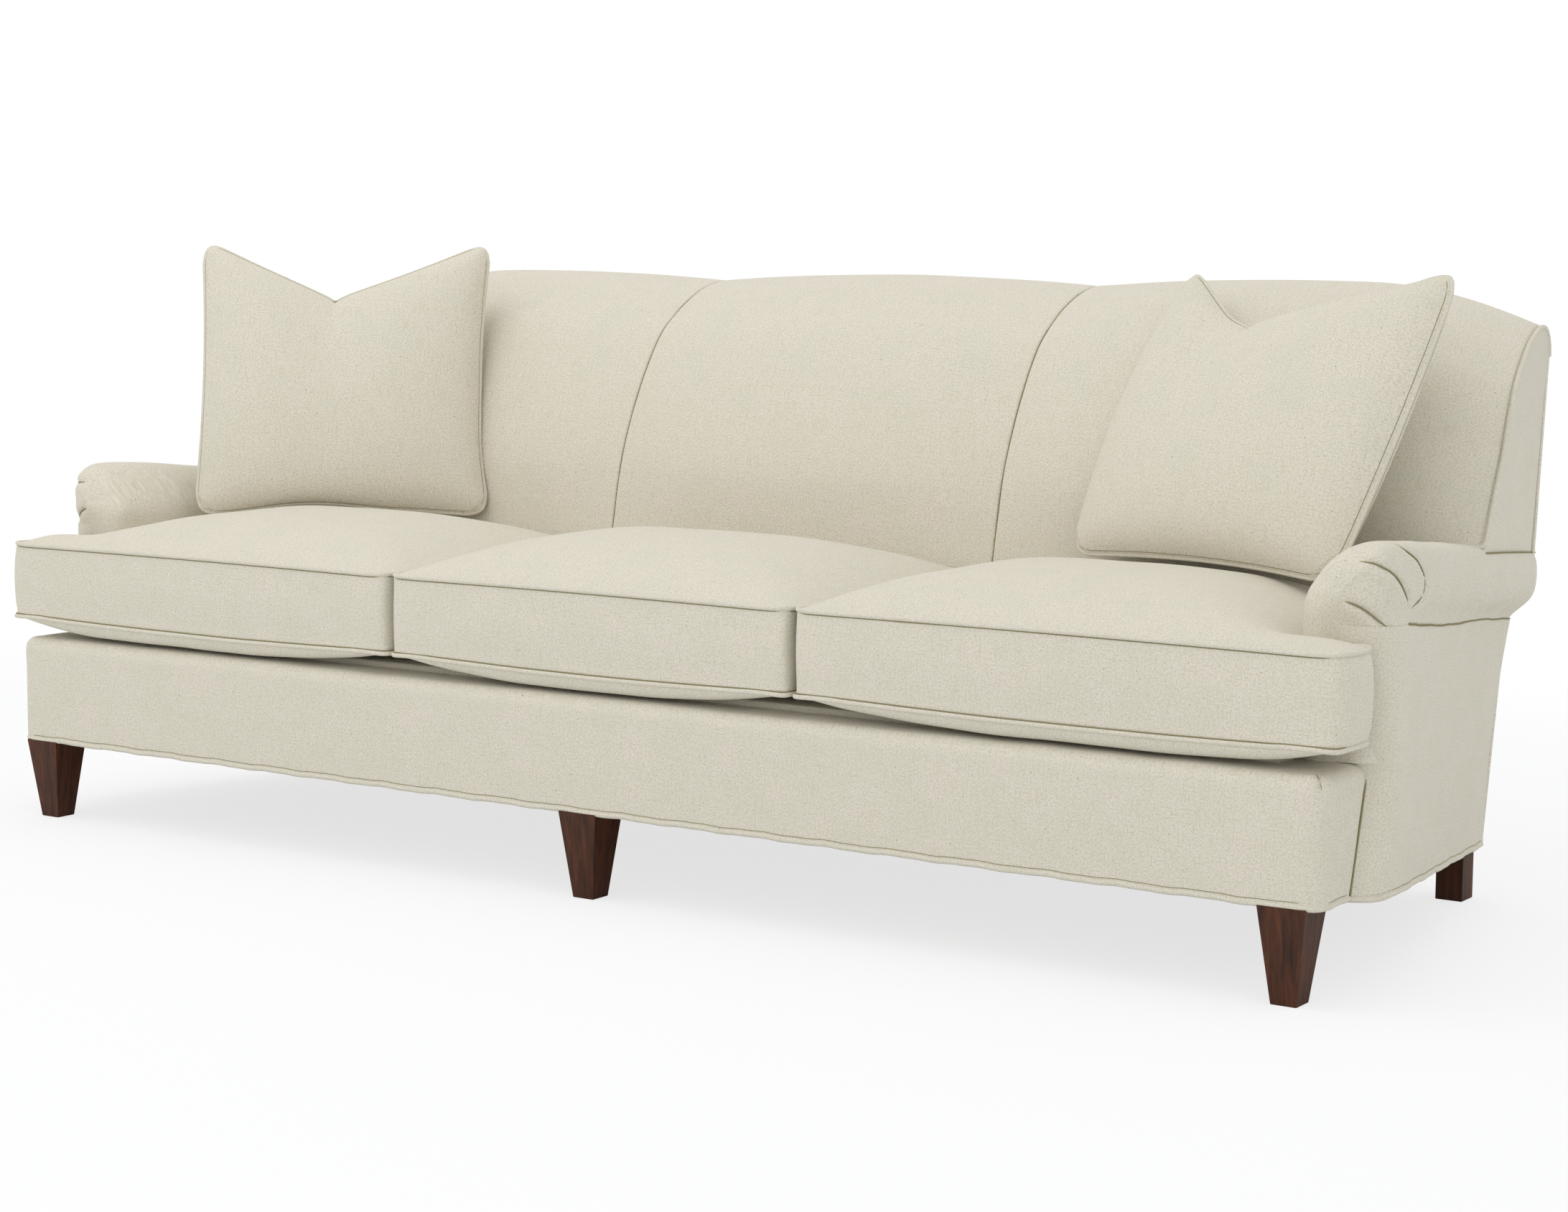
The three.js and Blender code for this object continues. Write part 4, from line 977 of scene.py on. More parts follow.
def arm_rows():
    """Rows of points from the middle of the face, over the dome and on to the rear."""
    dome, start = arm_dome()
    rim = dome[0]
    middle = (rim + rim[::-1]) / 2
    swell = FACE_SWELL * np.clip(np.linalg.norm(rim - rim[::-1], axis=1) / FACE_WIDE, 0, 1)
    face = []
    for share in np.linspace(0, 1, FACE_ROWS, endpoint=False):
        row = lerp(middle, rim, share)
        row[:, 1] -= swell * (1 - share**2) * eased_step((row[:, 2] - FACE_LOW) / FACE_RISE)
        face.append(row)
    run = []
    for share in np.linspace(0, 1, RUN_ROWS + 1)[1:] ** RUN_GROWTH:
        y = lerp(start, rear_at(arm_section(REAR_FOOT)[1]) - OUTSIDE_THICK, share)
        x, z = arm_section(y)
        run.append(np.stack([x, y, z], axis=1))
    last = run[-1]
    close = [lerp(last, (last + last[::-1]) / 2, share) for share in CLOSING]
    return np.array([*face, *dome, *run, *close])


def nose_set_back(side, x, y, z):
    """The left arm begins a little farther back than the right one, and its top falls more at the nose."""
    if side > 0:
        return x, y, z
    run = np.maximum(y - ARM_NOSE, 0)
    back = LEFT_BACK * np.exp(-run / LEFT_BACK_RUN) * eased_step((z - LEFT_BACK_LOW) / LEFT_BACK_RISE)
    drop = LEFT_DROP * np.exp(-run / LEFT_DROP_RUN) * eased_step((z - LEFT_DROP_LOW) / LEFT_DROP_RISE)
    return x, y + back, z - drop


def relaxed(piece, depth, height, passes):
    """Evens out the points in front of a depth and above a height, so that the face has no pinch."""
    mesh = bmesh.new()
    mesh.from_mesh(piece.data)
    near = [v for v in mesh.verts if v.co.y < depth and v.co.z > height and not v.is_boundary]
    for _ in range(passes):
        bmesh.ops.smooth_vert(mesh, verts=near, factor=0.5, use_axis_x=True, use_axis_y=True, use_axis_z=True)
    mesh.to_mesh(piece.data)
    mesh.free()


print("arm", arm_rows().shape[:2], "rows and columns")

# %% [markdown]
# The cloth of an arm is gathered on its face in three small folds. A fold is a narrow valley along a line
# with a soft swelling beside it, pressed into the finished points, with a fine line of painted shade in its
# depth.

# %% Folds
FOLD_WIDE = 0.0032
FOLD_RADIUS = 0.0011
FOLD_DEPTHS = (0.0032, 0.0024, 0.0028)
NOSE_FOLDS = (
    (
        (1.096, 0.108, 0.548), (1.111, 0.112, 0.5415), (1.128, 0.119, 0.537), (1.138, 0.138, 0.526),
        (1.1415, 0.172, 0.507), (1.137, 0.200, 0.487), (1.135, 0.213, 0.470),
    ),
    (
        (1.122, 0.172, 0.553), (1.134, 0.204, 0.544), (1.134, 0.236, 0.531), (1.130, 0.263, 0.510),
        (1.127, 0.270, 0.494), (1.129, 0.258, 0.479), (1.134, 0.222, 0.469),
    ),
    (
        (1.092, 0.106, 0.489), (1.104, 0.107, 0.4845), (1.117, 0.110, 0.478), (1.128, 0.119, 0.469),
        (1.138, 0.136, 0.457),
    ),
)
FOLD_FADE = (5, 6)  # a fold comes in and goes out at these rates, in shares of its length
FOLD_LEFT = 0.4  # and keeps this share of its depth at its end
SWELL_AT = 3.5 * FOLD_WIDE
SWELL_WIDE = 2.4 * FOLD_WIDE


def fold(places, line, depth):
    """Heights of a fold in the cloth: a narrow valley along a line, and a soft swelling beside it."""
    line = np.array([list(point) for point in line], float)
    nearest = np.full(len(places), 1.0)
    along = np.zeros(len(places))
    for k, (start, end) in enumerate(zip(line, line[1:])):
        way = end - start
        share = np.clip((places - start) @ way / way.dot(way), 0, 1)
        gap = np.linalg.norm(places - start - share[:, None] * way, axis=1)
        along = np.where(gap < nearest, (k + share) / (len(line) - 1), along)
        nearest = np.minimum(gap, nearest)
    fade = np.clip(FOLD_FADE[0] * along, 0, 1) * np.clip(FOLD_FADE[1] * (1 - along), FOLD_LEFT, 1)
    valley = -depth * np.exp(-((nearest / FOLD_WIDE) ** 2))
    swelling = 0.5 * depth * np.exp(-(((nearest - SWELL_AT) / SWELL_WIDE) ** 2))
    return (valley + swelling) * fade


# %% Arm rolls
ARM_PAD = 0.008
ARM_UNEVEN = 0.0013
ARM_UNEVEN_SIZE = 0.06
ARM_UNEVEN_LOW = 0.47
ARM_UNEVEN_RISE = 0.03
ARM_CORE = (0.4, 0.45)  # depth and height of a point inside the arm
# How far behind the nose, above which height and how often the cloth is evened out
RELAXING = ((0.30, ARM_LOW + 0.07, 6), (0.030, ARM_LOW, 12), (0.030, 0.45, 50))
ROLL_FOOT = (0.572, 0.862)  # depths between which the boxed side stands on the roll
FOOT_CLEAR = 0.0006
FOOT_RADIUS = 0.0013


def arm_cloth(at, way):
    """The cloth of an arm lies across its top, and upright on its face."""
    face = facing(way, Y_AXIS)
    return np.where(face, at[:, 0], at[:, 1]), np.where(face, at[:, 2], at[:, 2] - np.abs(at[:, 0]))


def arm_roll(side, word):
    rows = arm_rows()
    rows = np.stack(nose_set_back(side, rows[:, :, 0] * side, rows[:, :, 1], rows[:, :, 2]), axis=2)
    rows[:, :, 1] += FRONT

    def place(a, s):
        x, y, z = rows[s, a]
        uneven = ARM_UNEVEN * ripple(x, y, z, size=ARM_UNEVEN_SIZE, seed=side)
        return Vector((x, y, z + uneven * clamp((z - ARM_UNEVEN_LOW) / ARM_UNEVEN_RISE)))

    columns = list(range(rows.shape[1]))
    core = spot(side * (ARM_INNER + ARM_OUTER) / 2, *ARM_CORE)
    piece = laid(f"{word}_arm_cover", columns, list(range(len(rows))), place, core, closed=True)
    for behind, height, passes in RELAXING:
        relaxed(piece, FRONT + ARM_NOSE + behind, height, passes)
    lines = []
    for k, (line, depth) in enumerate(zip(NOSE_FOLDS, FOLD_DEPTHS)):
        places = [spot(*nose_set_back(side, side * x, y, z)) for x, y, z in line]
        lines.append(laid_on(piece, places))
        valley = laid_on(piece, places, sink=depth * 0.5)
        seam_shade_line(f"{word}_arm_fold_{k}", valley, "sofa", radius=FOLD_RADIUS, ease=1)
    pressed(piece, lambda at: sum(fold(at, line, depth) for line, depth in zip(lines, FOLD_DEPTHS)))
    mapped(piece, arm_cloth)
    walled(piece, ARM_PAD)
    upholster(piece, "sofa", f"{word}_arm_pad")


def boxing_foot(side, word):
    """A line of painted shade at the seam where the boxed side of the back stands on the roll."""
    first = PLAIN_STEPS + SIDE_STEPS
    places = []
    for y in np.linspace(*ROLL_FOOT, 50):
        x, z = arm_section(y)
        widest = int(np.argmax(x))
        wall = back_side_at(y) + FOOT_CLEAR
        height = np.interp(wall, x[first:widest], z[first:widest])
        places.append(spot(side * wall, y, float(height) + FOOT_CLEAR))
    seam_shade_line(f"{word}_boxing_seam", places, "sofa", radius=FOOT_RADIUS)


for side, word in SIDES:
    arm_roll(side, word)
    boxing_foot(side, word)

# %% [markdown]
# Below the roll hangs the outer panel. It turns the front corner of the arm, and its lower edge carries a
# welt. The seam where it meets the base leans back, so its front edge does too. Every point of the panel is
# found from its run, the distance round from the front edge, and its height.

# %% The plan of an outer panel
BASE_BOTTOM = 0.125
BASE_TOP = 0.287
SEAT_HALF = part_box("right_seat_cushion")[1].x - 0.005
BASE_HALF = SEAT_HALF - 0.012
RIM_HIGH = 0.434  # upper rim of the seat cushions
UNDER_PITCH = 0.07
RETURN_END = 0.110
PANEL_LAP = 0.012
PANEL_RUN = 0.65
PANEL_REAR = 0.0035  # the panel ends this far in front of the rear edge
CORNER_X = PANEL_OUTER - PANEL_CORNER
CORNER_Y = PANEL_FRONT + PANEL_CORNER
CORNER_RUN = PANEL_CORNER * math.pi / 2
LEAN_HEIGHTS = (BASE_BOTTOM, 0.275, 0.335, RIM_HIGH)
LEAN_DEPTHS = (-0.025, 0.018, 0.001, 0.0)
LEAN_FROM = 0.02
LEAN_RUN = 0.11
LOW_STRAY = 0.4  # a lower edge strays less than a sewn line, by this factor


def lean(z):
    return float(np.interp(z, LEAN_HEIGHTS, LEAN_DEPTHS))


def panel_plan(run, z, out=0.0):
    """Across and depth of the panel, run metres from its front edge and standing out a little."""
    turned = run - PANEL_LAP
    if turned < 0:
        x, y = CORNER_X + turned, PANEL_FRONT - out
    elif turned < CORNER_RUN:
        angle = turned / PANEL_CORNER
        x = CORNER_X + (PANEL_CORNER + out) * math.sin(angle)
        y = CORNER_Y - (PANEL_CORNER + out) * math.cos(angle)
    else:
        share = (turned - CORNER_RUN) / (PANEL_RUN - PANEL_LAP - CORNER_RUN)
        y = lerp(CORNER_Y, rear_at(z) - PANEL_REAR, share)
        x = float(panel_line(y)) + out
    return x, y + lean(z) * (1 - float(eased_step((turned - LEAN_FROM) / LEAN_RUN)))


def low_stray(run, seed):
    return LOW_STRAY * float(wander(run, seed))


def panel_low(run, y):
    return BASE_BOTTOM - UNDER_PITCH * max(0, y - RETURN_END) + low_stray(run, 0.7) * clamp(run / 0.05)


def seam_height(y):
    return float(arm_top_at(y) - ROLL_HEIGHT + seam_wave(y))


print("outer panel", PANEL_RUN, "m round")

# %% Outer panels of the arms
PANEL_HIGH = 0.36
PANEL_MIDDLE = 0.3
PANEL_CELLS = (0.018, 0.014)
PANEL_WALL_SHARE = 0.8
PANEL_SWELL = 0.0030
PANEL_SWELL_RUN = 0.08
PANEL_REST = 0.05  # the swelling fades over this distance before the rear
PANEL_UNEVEN = 0.0012
PANEL_UNEVEN_SIZE = 0.09
PANEL_UNEVEN_REST = 0.04
PANEL_TURN = 0.005
PANEL_FRONT_TURN = 0.004
FLARE_HIGH = 2.5
RIDGE = 0.0024  # a faint upright fold where the panel turns
RIDGE_AT = PANEL_LAP + 0.062
RIDGE_WIDE = 0.0045
GATHER_AT = 0.205
PANEL_TOP_CLEAR = 0.0006  # the panel stops this far below the seam under the roll
PANEL_UNEVEN_TALL = 0.4  # height of the panel in the pattern of its unevenness
TOP_TURN_FROM = 0.15  # behind this depth the top of the panel turns in
TOP_TURN_RUN = 0.05
PANEL_CORE = (0.9, 0.5, 0.3)  # across, depth and height of a point inside
ARM_SEAM_IN = 0.0012
ARM_SEAM_DOWN = 0.0002
ARM_SEAM_RADIUS = 0.0012
JOIN_IN = 0.0005  # the upright seam between the panel and the base
JOIN_BACK = 0.0062
JOIN_LOW = 0.002
JOIN_HIGH = 0.012
JOIN_POINTS = 40
JOIN_RADIUS = 0.0014
EDGE_WELT = 0.0040
EDGE_PROUD = 0.0022
EDGE_RISE = 0.001
EDGE_SEAM = 0.0058  # the seam above a welt on a lower edge
EDGE_STEPS = 110


def outer_panel(side, word):
    across = stops(0, PANEL_RUN, PANEL_CELLS[0], fine_end=False)
    along = stops(0, PANEL_HIGH, PANEL_CELLS[1], fine_start=False)

    def place(a, s):
        s /= PANEL_HIGH
        rest = PANEL_RUN - a
        _, y = panel_plan(a, PANEL_MIDDLE)
        low, high = panel_low(a, y), seam_height(y) - PANEL_TOP_CLEAR
        z = lerp(low, high, s)
        uneven = PANEL_UNEVEN * ripple(a, s * PANEL_UNEVEN_TALL, side, size=PANEL_UNEVEN_SIZE, seed=3)
        swell = PANEL_SWELL * math.sin(math.pi * s) * clamp(a / PANEL_SWELL_RUN) * clamp(rest / PANEL_REST)
        swell += uneven * clamp(rest / PANEL_UNEVEN_REST)
        swell += RIDGE * math.exp(-(((a - RIDGE_AT) / RIDGE_WIDE) ** 2)) * math.sin(math.pi * s)
        turned_in = clamp((y - TOP_TURN_FROM) / TOP_TURN_RUN)
        swell -= shoulder(high - z, PANEL_TURN) * turned_in + shoulder(a, PANEL_FRONT_TURN)
        x, y = panel_plan(a, z, swell)
        return spot(*nose_set_back(side, side * (x + float(flare(y)) * s**FLARE_HIGH), y, z))

    core = spot(side * PANEL_CORE[0], *PANEL_CORE[1:])
    piece = laid(f"{word}_arm_outside", across, along, place, core, PANEL_THICK * PANEL_WALL_SHARE)
    return upholster(piece, "sofa", f"{word}_outer_arm")


def edge_welt(name, piece, edge):
    """A thick welt on a lower edge, and a line of painted shade at the seam above it."""
    welt(name, edge, "sofa", radius=EDGE_WELT)
    above = laid_on(piece, [point + Vector((0, 0, EDGE_SEAM)) for point in edge])
    seam_shade_line(f"{name}_seam", above, "sofa", radius=0.0006)


def panel_seams(side, word, piece):
    """The welt below, and lines of painted shade at the seam under the roll and at the upright seam to the
    base.
    """
    edge = []
    for run in np.linspace(0.0, PANEL_RUN, EDGE_STEPS):
        low = panel_low(run, panel_plan(run, PANEL_MIDDLE)[1])
        x, y = panel_plan(run, low, EDGE_PROUD - EDGE_WELT)
        edge.append(spot(side * x, y, low + EDGE_RISE))
    edge_welt(f"{word}_arm_edge", piece, edge)
    seam = []
    for run in np.linspace(PANEL_LAP + CORNER_RUN, PANEL_RUN, EDGE_STEPS):
        x, y = panel_plan(run, seam_height(panel_plan(run, RIM_HIGH)[1]))
        if y >= GATHER_AT:
            across = side * (x + float(flare(y)) - ARM_SEAM_IN)
            seam.append(spot(*nose_set_back(side, across, y, seam_height(y) - ARM_SEAM_DOWN)))
    seam_shade_line(f"{word}_arm_seam", seam, "sofa", radius=ARM_SEAM_RADIUS)
    across, back = side * (BASE_HALF - JOIN_IN), RETURN_END + JOIN_BACK
    heights = np.linspace(BASE_BOTTOM + JOIN_LOW, BASE_TOP - JOIN_HIGH, JOIN_POINTS)
    join = [spot(across, back + lean(z), z) for z in heights]
    seam_shade_line(f"{word}_base_seam", join, "sofa", radius=JOIN_RADIUS)


for side, word in SIDES:
    panel_seams(side, word, outer_panel(side, word))

# %% [markdown]
# The base is one band of cloth over a padded rail. It wraps both front corners, its top edge is softly
# rounded, and it runs in under the cushions. A dart takes up the cloth at each top corner.

# %% The plan of the base
BASE_CORNER = 0.026
BASE_RETURN = 0.09
RETURN_LAP = 0.0045  # the band ends this far behind the front of the outer panels
BASE_CELLS = (0.022, 0.012)
TOP_ROUND = 0.019
TOP_RUN = 0.100
TOP_LIFT = 0.0012
FACE_STEPS = 14
TURN_STEPS = 7
CORNER_STEPS = 8
base_straight = BASE_HALF - BASE_CORNER
base_arc = BASE_CORNER * math.pi / 2
BASE_RUN = base_straight + base_arc + BASE_RETURN


def base_plan(run, z, inset):
    """Across and depth of the band, run metres round from the middle and set in a little."""
    side, run = math.copysign(1, run), abs(run)
    radius = max(BASE_CORNER - inset, 0.0)
    centre_x = BASE_HALF - max(BASE_CORNER, inset)
    centre_y = max(BASE_CORNER, inset)
    if run < base_straight:
        return side * run * centre_x / base_straight, centre_y - radius
    if run < base_straight + base_arc:
        angle = (run - base_straight) / BASE_CORNER
        return side * (centre_x + radius * math.sin(angle)), centre_y - radius * math.cos(angle)
    share = (run - base_straight - base_arc) / (BASE_RUN - base_straight - base_arc)
    return side * (centre_x + radius), lerp(centre_y, RETURN_END + RETURN_LAP + lean(z), share)


# Each row of the band: how far it is set in, and its height
face_top = BASE_TOP - TOP_ROUND
base_rows = [(0.016, BASE_BOTTOM + 0.001), (0.006, BASE_BOTTOM), (0.0015, BASE_BOTTOM + 0.0008)]
base_rows += [(0.0, z) for z in np.linspace(BASE_BOTTOM + 0.003, face_top, FACE_STEPS)]
for step in range(1, TURN_STEPS + 1):
    turn = step / TURN_STEPS * math.pi / 2
    base_rows.append((TOP_ROUND * (1 - math.cos(turn)), face_top + TOP_ROUND * math.sin(turn)))
base_rows += [(inset, BASE_TOP + TOP_LIFT) for inset in np.linspace(TOP_ROUND, TOP_RUN, 6)[1:]]
half_runs = stops(0, base_straight, BASE_CELLS[0], fine_start=False, fine_end=False)
half_runs += [base_straight + base_arc * k / CORNER_STEPS for k in range(1, CORNER_STEPS + 1)]
half_runs += stops(base_straight + base_arc, BASE_RUN, BASE_CELLS[1], fine_start=False)[1:]
base_runs = [-run for run in half_runs[:0:-1]] + half_runs
print("band", len(base_runs), "columns", len(base_rows), "rows")

# %% Base cover
BASE_UNEVEN = 0.0014
BASE_UNEVEN_SIZE = 0.11
TOP_UNEVEN = 0.0012
TOP_UNEVEN_SIZE = 0.07
BASE_TURN = 0.004
BASE_EDGE_POINTS = 420
BASE_WALL = 0.010
BASE_STRAY = 1.9  # seed of its lower edge
DART = ((1.098, 0.026, 0.2868), (1.1057, 0.0185, 0.2845), (1.110, 0.0135, 0.279), (1.1125, 0.011, 0.271))
DART_DEEP = 0.0030


def base_point(a, s):
    inset, z = base_rows[s]
    height = (z - BASE_BOTTOM) / (BASE_TOP - BASE_BOTTOM)
    inset += shoulder(BASE_RUN - abs(a), BASE_TURN)
    uneven = BASE_UNEVEN * ripple(a, z, 0, size=BASE_UNEVEN_SIZE, seed=6)
    inset -= uneven * math.sin(math.pi * clamp(height))
    x, y = base_plan(a, z, inset)
    z += low_stray(a, BASE_STRAY) * clamp(1 - 6 * height)
    z += TOP_UNEVEN * ripple(a, 0, 0, size=TOP_UNEVEN_SIZE, seed=9) * clamp(4 * height - 3)
    return spot(x, y, z)


def base_cloth(at, way):
    """The band runs round the corners, and its top is laid back."""
    round_corner = at[:, 1] * np.sign(at[:, 0]) * facing(way, X_AXIS)
    return at[:, 0] + round_corner, at[:, 2] - at[:, 1] * (way[:, 2] > FACING)


band = laid("base_band", base_runs, list(range(len(base_rows))), base_point, spot(0, 0.2, 0.2))
pressed(band, lambda at: fold(np.abs(at - (0, FRONT, 0)), DART, DART_DEEP))
mapped(band, base_cloth)
walled(band, BASE_WALL)
upholster(band, "sofa", "base_cover")
# A thin line of painted shade marks the fold of each dart.
for side, word in SIDES:
    dart = [spot(side * x, y, z) for x, y, z in DART]
    seam_shade_line(f"{word}_base_dart_shade", laid_on(band, dart), "sofa", radius=0.0008)
base_edge = []
for run in np.linspace(-BASE_RUN, BASE_RUN, BASE_EDGE_POINTS):
    x, y = base_plan(run, BASE_BOTTOM, EDGE_WELT - EDGE_PROUD)
    base_edge.append(spot(x, y, BASE_BOTTOM + EDGE_RISE + low_stray(run, BASE_STRAY)))
edge_welt("base_edge", band, base_edge)

# %% [markdown]
# The outside back and the platform under the cushions are plain plates. They keep their packed form with
# eased edges, and are only fitted to the covers round them.

# %% Outside back and platform
OUTSIDE_EDGE = 0.0025
OUTSIDE_TOP = 0.74
OUTSIDE_RISE = 0.0085  # it reaches up to the rolled edge of the back
WING_LOW = 0.385  # its sides follow the widened outer panels here
WING_HIGH = 0.400
WING_OUT = 0.0115
PLATFORM_EDGE = 0.003
PLATFORM_FRONT = 0.05
PLATFORM_BACK = 0.045
PLATFORM_HALF = 1.030
BACK_EDGE_HALF = 1.0304
SAME_PLACE = 0.000001  # corners of neighbouring faces are one point within this


def copied(node, name):
    """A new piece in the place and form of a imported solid."""
    mesh = nodes[node].data.copy()
    mesh.transform(nodes[node].matrix_world)
    mesh.name = name
    piece = linked(name, mesh)
    merged(piece, SAME_PLACE)
    return piece


def edge_cloth(at, way):
    return at[:, 0], np.where(facing(way, Z_AXIS), at[:, 1], at[:, 2])


def edged(node, name, width):
    """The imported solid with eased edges, and its points."""
    piece = copied(node, name)
    modified(piece, "edge", "BEVEL", width=width, segments=3, limit_method="ANGLE")
    apply_all(piece)
    mapped(piece, edge_cloth)
    upholster(piece, "sofa", node)
    return piece, places_of(piece)


outside, places = edged("outside_back", "outside_back_cover", OUTSIDE_EDGE)
places[places[:, 2] > OUTSIDE_TOP] += (0, RAKE * OUTSIDE_RISE, OUTSIDE_RISE)
wing = (places[:, 2] > WING_LOW) & (places[:, 2] < WING_HIGH)
places[wing, 0] += np.sign(places[wing, 0]) * WING_OUT
put(outside, places)
platform, places = edged("seat_deck", "seat_platform", PLATFORM_EDGE)
places[places[:, 1] < FRONT + PLATFORM_FRONT, 1] += PLATFORM_BACK
ears = np.abs(places[:, 0]) > PLATFORM_HALF
places[ears, 0] = np.sign(places[ears, 0]) * PLATFORM_HALF
put(platform, places)
back_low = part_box("outside_back")[0].z
back_edge = [
    spot(x, rear_at(back_low) - EDGE_WELT + WELT_OUT, back_low + EDGE_RISE)
    for x in np.linspace(-BACK_EDGE_HALF, BACK_EDGE_HALF, 240)
]
welt("back_edge", back_edge, "sofa", radius=EDGE_WELT)

# %% [markdown]
# The cloth under the frame is one thin sheet, tacked to the front and the back rail and a little slack in
# between. The wooden parts are blocks and boards that keep their packed form. Nothing real has a perfectly
# sharp edge, so a bevel eases theirs, which gives each one a thin line of light.

# %% Dust cover and wooden parts
SAG = 0.006
SHEET = 0.0008
SHEET_REAR_HALF = 1.0113
SHEET_POINTS = (60, 22)
WOOD_EDGE = 0.0012
WOODEN = ("_leg", "_rail", "_post", "_board", "_slat", "_block", "_stretcher", "_upright")
sheet_low, sheet_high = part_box("dust_cover")
sheet_depth = sheet_high.y - sheet_low.y
sheet_cut = (2 * sheet_high.x, sheet_depth)


def sheet_point(a, s):
    share_x, share_y = a / sheet_cut[0], s / sheet_depth
    half = lerp(sheet_high.x, SHEET_REAR_HALF, share_y)
    sag = SAG * math.sin(math.pi * share_y) * abs(math.sin(2 * math.pi * share_x))
    z = lerp(sheet_high.z, sheet_low.z + 0.002, share_y) - sag
    return Vector((lerp(-half, half, share_x), lerp(sheet_low.y, sheet_high.y, share_y), z))


across, along = (list(np.linspace(0, size, count)) for size, count in zip(sheet_cut, SHEET_POINTS))
sheet = laid("dust_sheet", across, along, sheet_point, (0, 0, 0.5), SHEET)
upholster(sheet, "sofa", "dust_cover", fill=None, material=CAMBRIC)
for name, node in nodes.items():
    if name.endswith(WOODEN):
        modified(node, "joined", "WELD", merge_threshold=0.00001)
        modified(node, "eased_edge", "BEVEL", width=WOOD_EDGE, segments=2, limit_method="ANGLE")
print("sheet", round(sheet_cut[0], 3), "by", round(sheet_depth, 3), "m")

# %% [markdown]
# A cushion is a bag of cloth over a filling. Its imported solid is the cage: the edges of its rims stay sharp,
# and the cloth between them is blown up a little by a cloth simulation, which gives it the give of fabric.
# The welts follow the rims of the finished shape.

# %% The cage of a filled piece
RIM_TURN = 0.35  # radians between the faces at a rim
HELD = 0.999
RIM_POINTS = 30  # a shorter line of held points is no rim


def cage_of(node, name, is_rim):
    """A copy of the solid in four-sided faces, its rims held by a group and, where asked, kept sharp."""
    piece = copied(node, name)
    piece.vertex_groups.new(name="rim")
    mesh = bmesh.new()
    mesh.from_mesh(piece.data)
    bmesh.ops.join_triangles(
        mesh, faces=mesh.faces, angle_face_threshold=math.pi, angle_shape_threshold=math.pi
    )
    held = mesh.verts.layers.deform.verify()
    crease = mesh.edges.layers.float.get("crease_edge") or mesh.edges.layers.float.new("crease_edge")
    for edge in mesh.edges:
        sharpness = is_rim(edge)
        if sharpness is not None:
            edge[crease] = sharpness
            for vertex in edge.verts:
                vertex[held][0] = 1.0
    mesh.to_mesh(piece.data)
    mesh.free()
    return piece


def held_points(piece):
    """Whether each point is on a rim."""
    return np.array([any(group.weight > HELD for group in v.groups) for v in piece.data.vertices])


def rim_lines(piece):
    """The rims as closed lines of places, walked along the edges between held points."""
    on_rim = held_points(piece)
    nearby = {}
    for edge in piece.data.edges:
        a, b = edge.vertices
        if on_rim[a] and on_rim[b]:
            nearby.setdefault(a, []).append(b)
            nearby.setdefault(b, []).append(a)
    lines = []
    left = set(nearby)
    while left:
        onward = [min(left)]
        line = []
        while onward:
            here = onward[0]
            left.discard(here)
            line.append(here)
            onward = [n for n in nearby[here] if n in left]
        lines.append([piece.data.vertices[k].co.copy() for k in line])
    return [line for line in lines if len(line) > RIM_POINTS]


# %% Cloth simulation of a filled piece
BLOWN_STEPS = 14
CLOTH = {
    "quality": 5,
    "mass": 0.2,
    "tension_stiffness": 20,
    "compression_stiffness": 20,
    "shear_stiffness": 8,
    "bending_stiffness": 0.6,
    "use_pressure": True,
    "vertex_group_mass": "rim",
}


def blown_up(piece, pressure, cap):
    """Cloth simulation with the rims held. No point moves farther than the cap."""
    before = places_of(piece)
    pick(piece)
    cloth = piece.modifiers.new("cloth", "CLOTH")
    for setting, value in CLOTH.items():
        setattr(cloth.settings, setting, value)
    cloth.settings.uniform_pressure_force = pressure
    cloth.settings.effector_weights.gravity = 0
    cloth.collision_settings.use_collision = False
    cloth.point_cache.frame_start = 1
    cloth.point_cache.frame_end = BLOWN_STEPS
    for step in range(1, BLOWN_STEPS + 1):
        bpy.context.scene.frame_set(step)
    bpy.ops.object.modifier_apply(modifier=cloth.name)
    bpy.context.scene.frame_set(1)
    moved = places_of(piece) - before
    far = np.linalg.norm(moved, axis=1)
    kept = np.minimum(1, cap / np.maximum(far, 1e-9))
    put(piece, before + moved * kept[:, None])
    print(piece.name, "moved", round(float(far.mean()), 4), "m, at most", round(float(far.max()), 4))


# %% [markdown]
# A seat cushion is boxed: two faces of cloth and a band between them, with a welt along both rims. The outer
# two have an ear in front of the arm. The front of the underside hangs full over the edge of the base, as an
# old cushion's does, so the points near the lower rim are brought down after the simulation.

# %% The underside of a cushion
RIM_LOW = 0.320
HANG_DEEP = 0.027
HANG_ROUND = 0.022
HANG_RUN = 0.050
HANG_GROWTH = 1.7  # draws the points of the underside towards its front
HANG_START = 0.003
UNDER_CLEAR = 0.0004
HANG_END = 3
HANG_EAR = 5  # the hang reaches nearer to the end of an ear
EAR_FROM = 1.02  # from here outwards a cushion is an ear


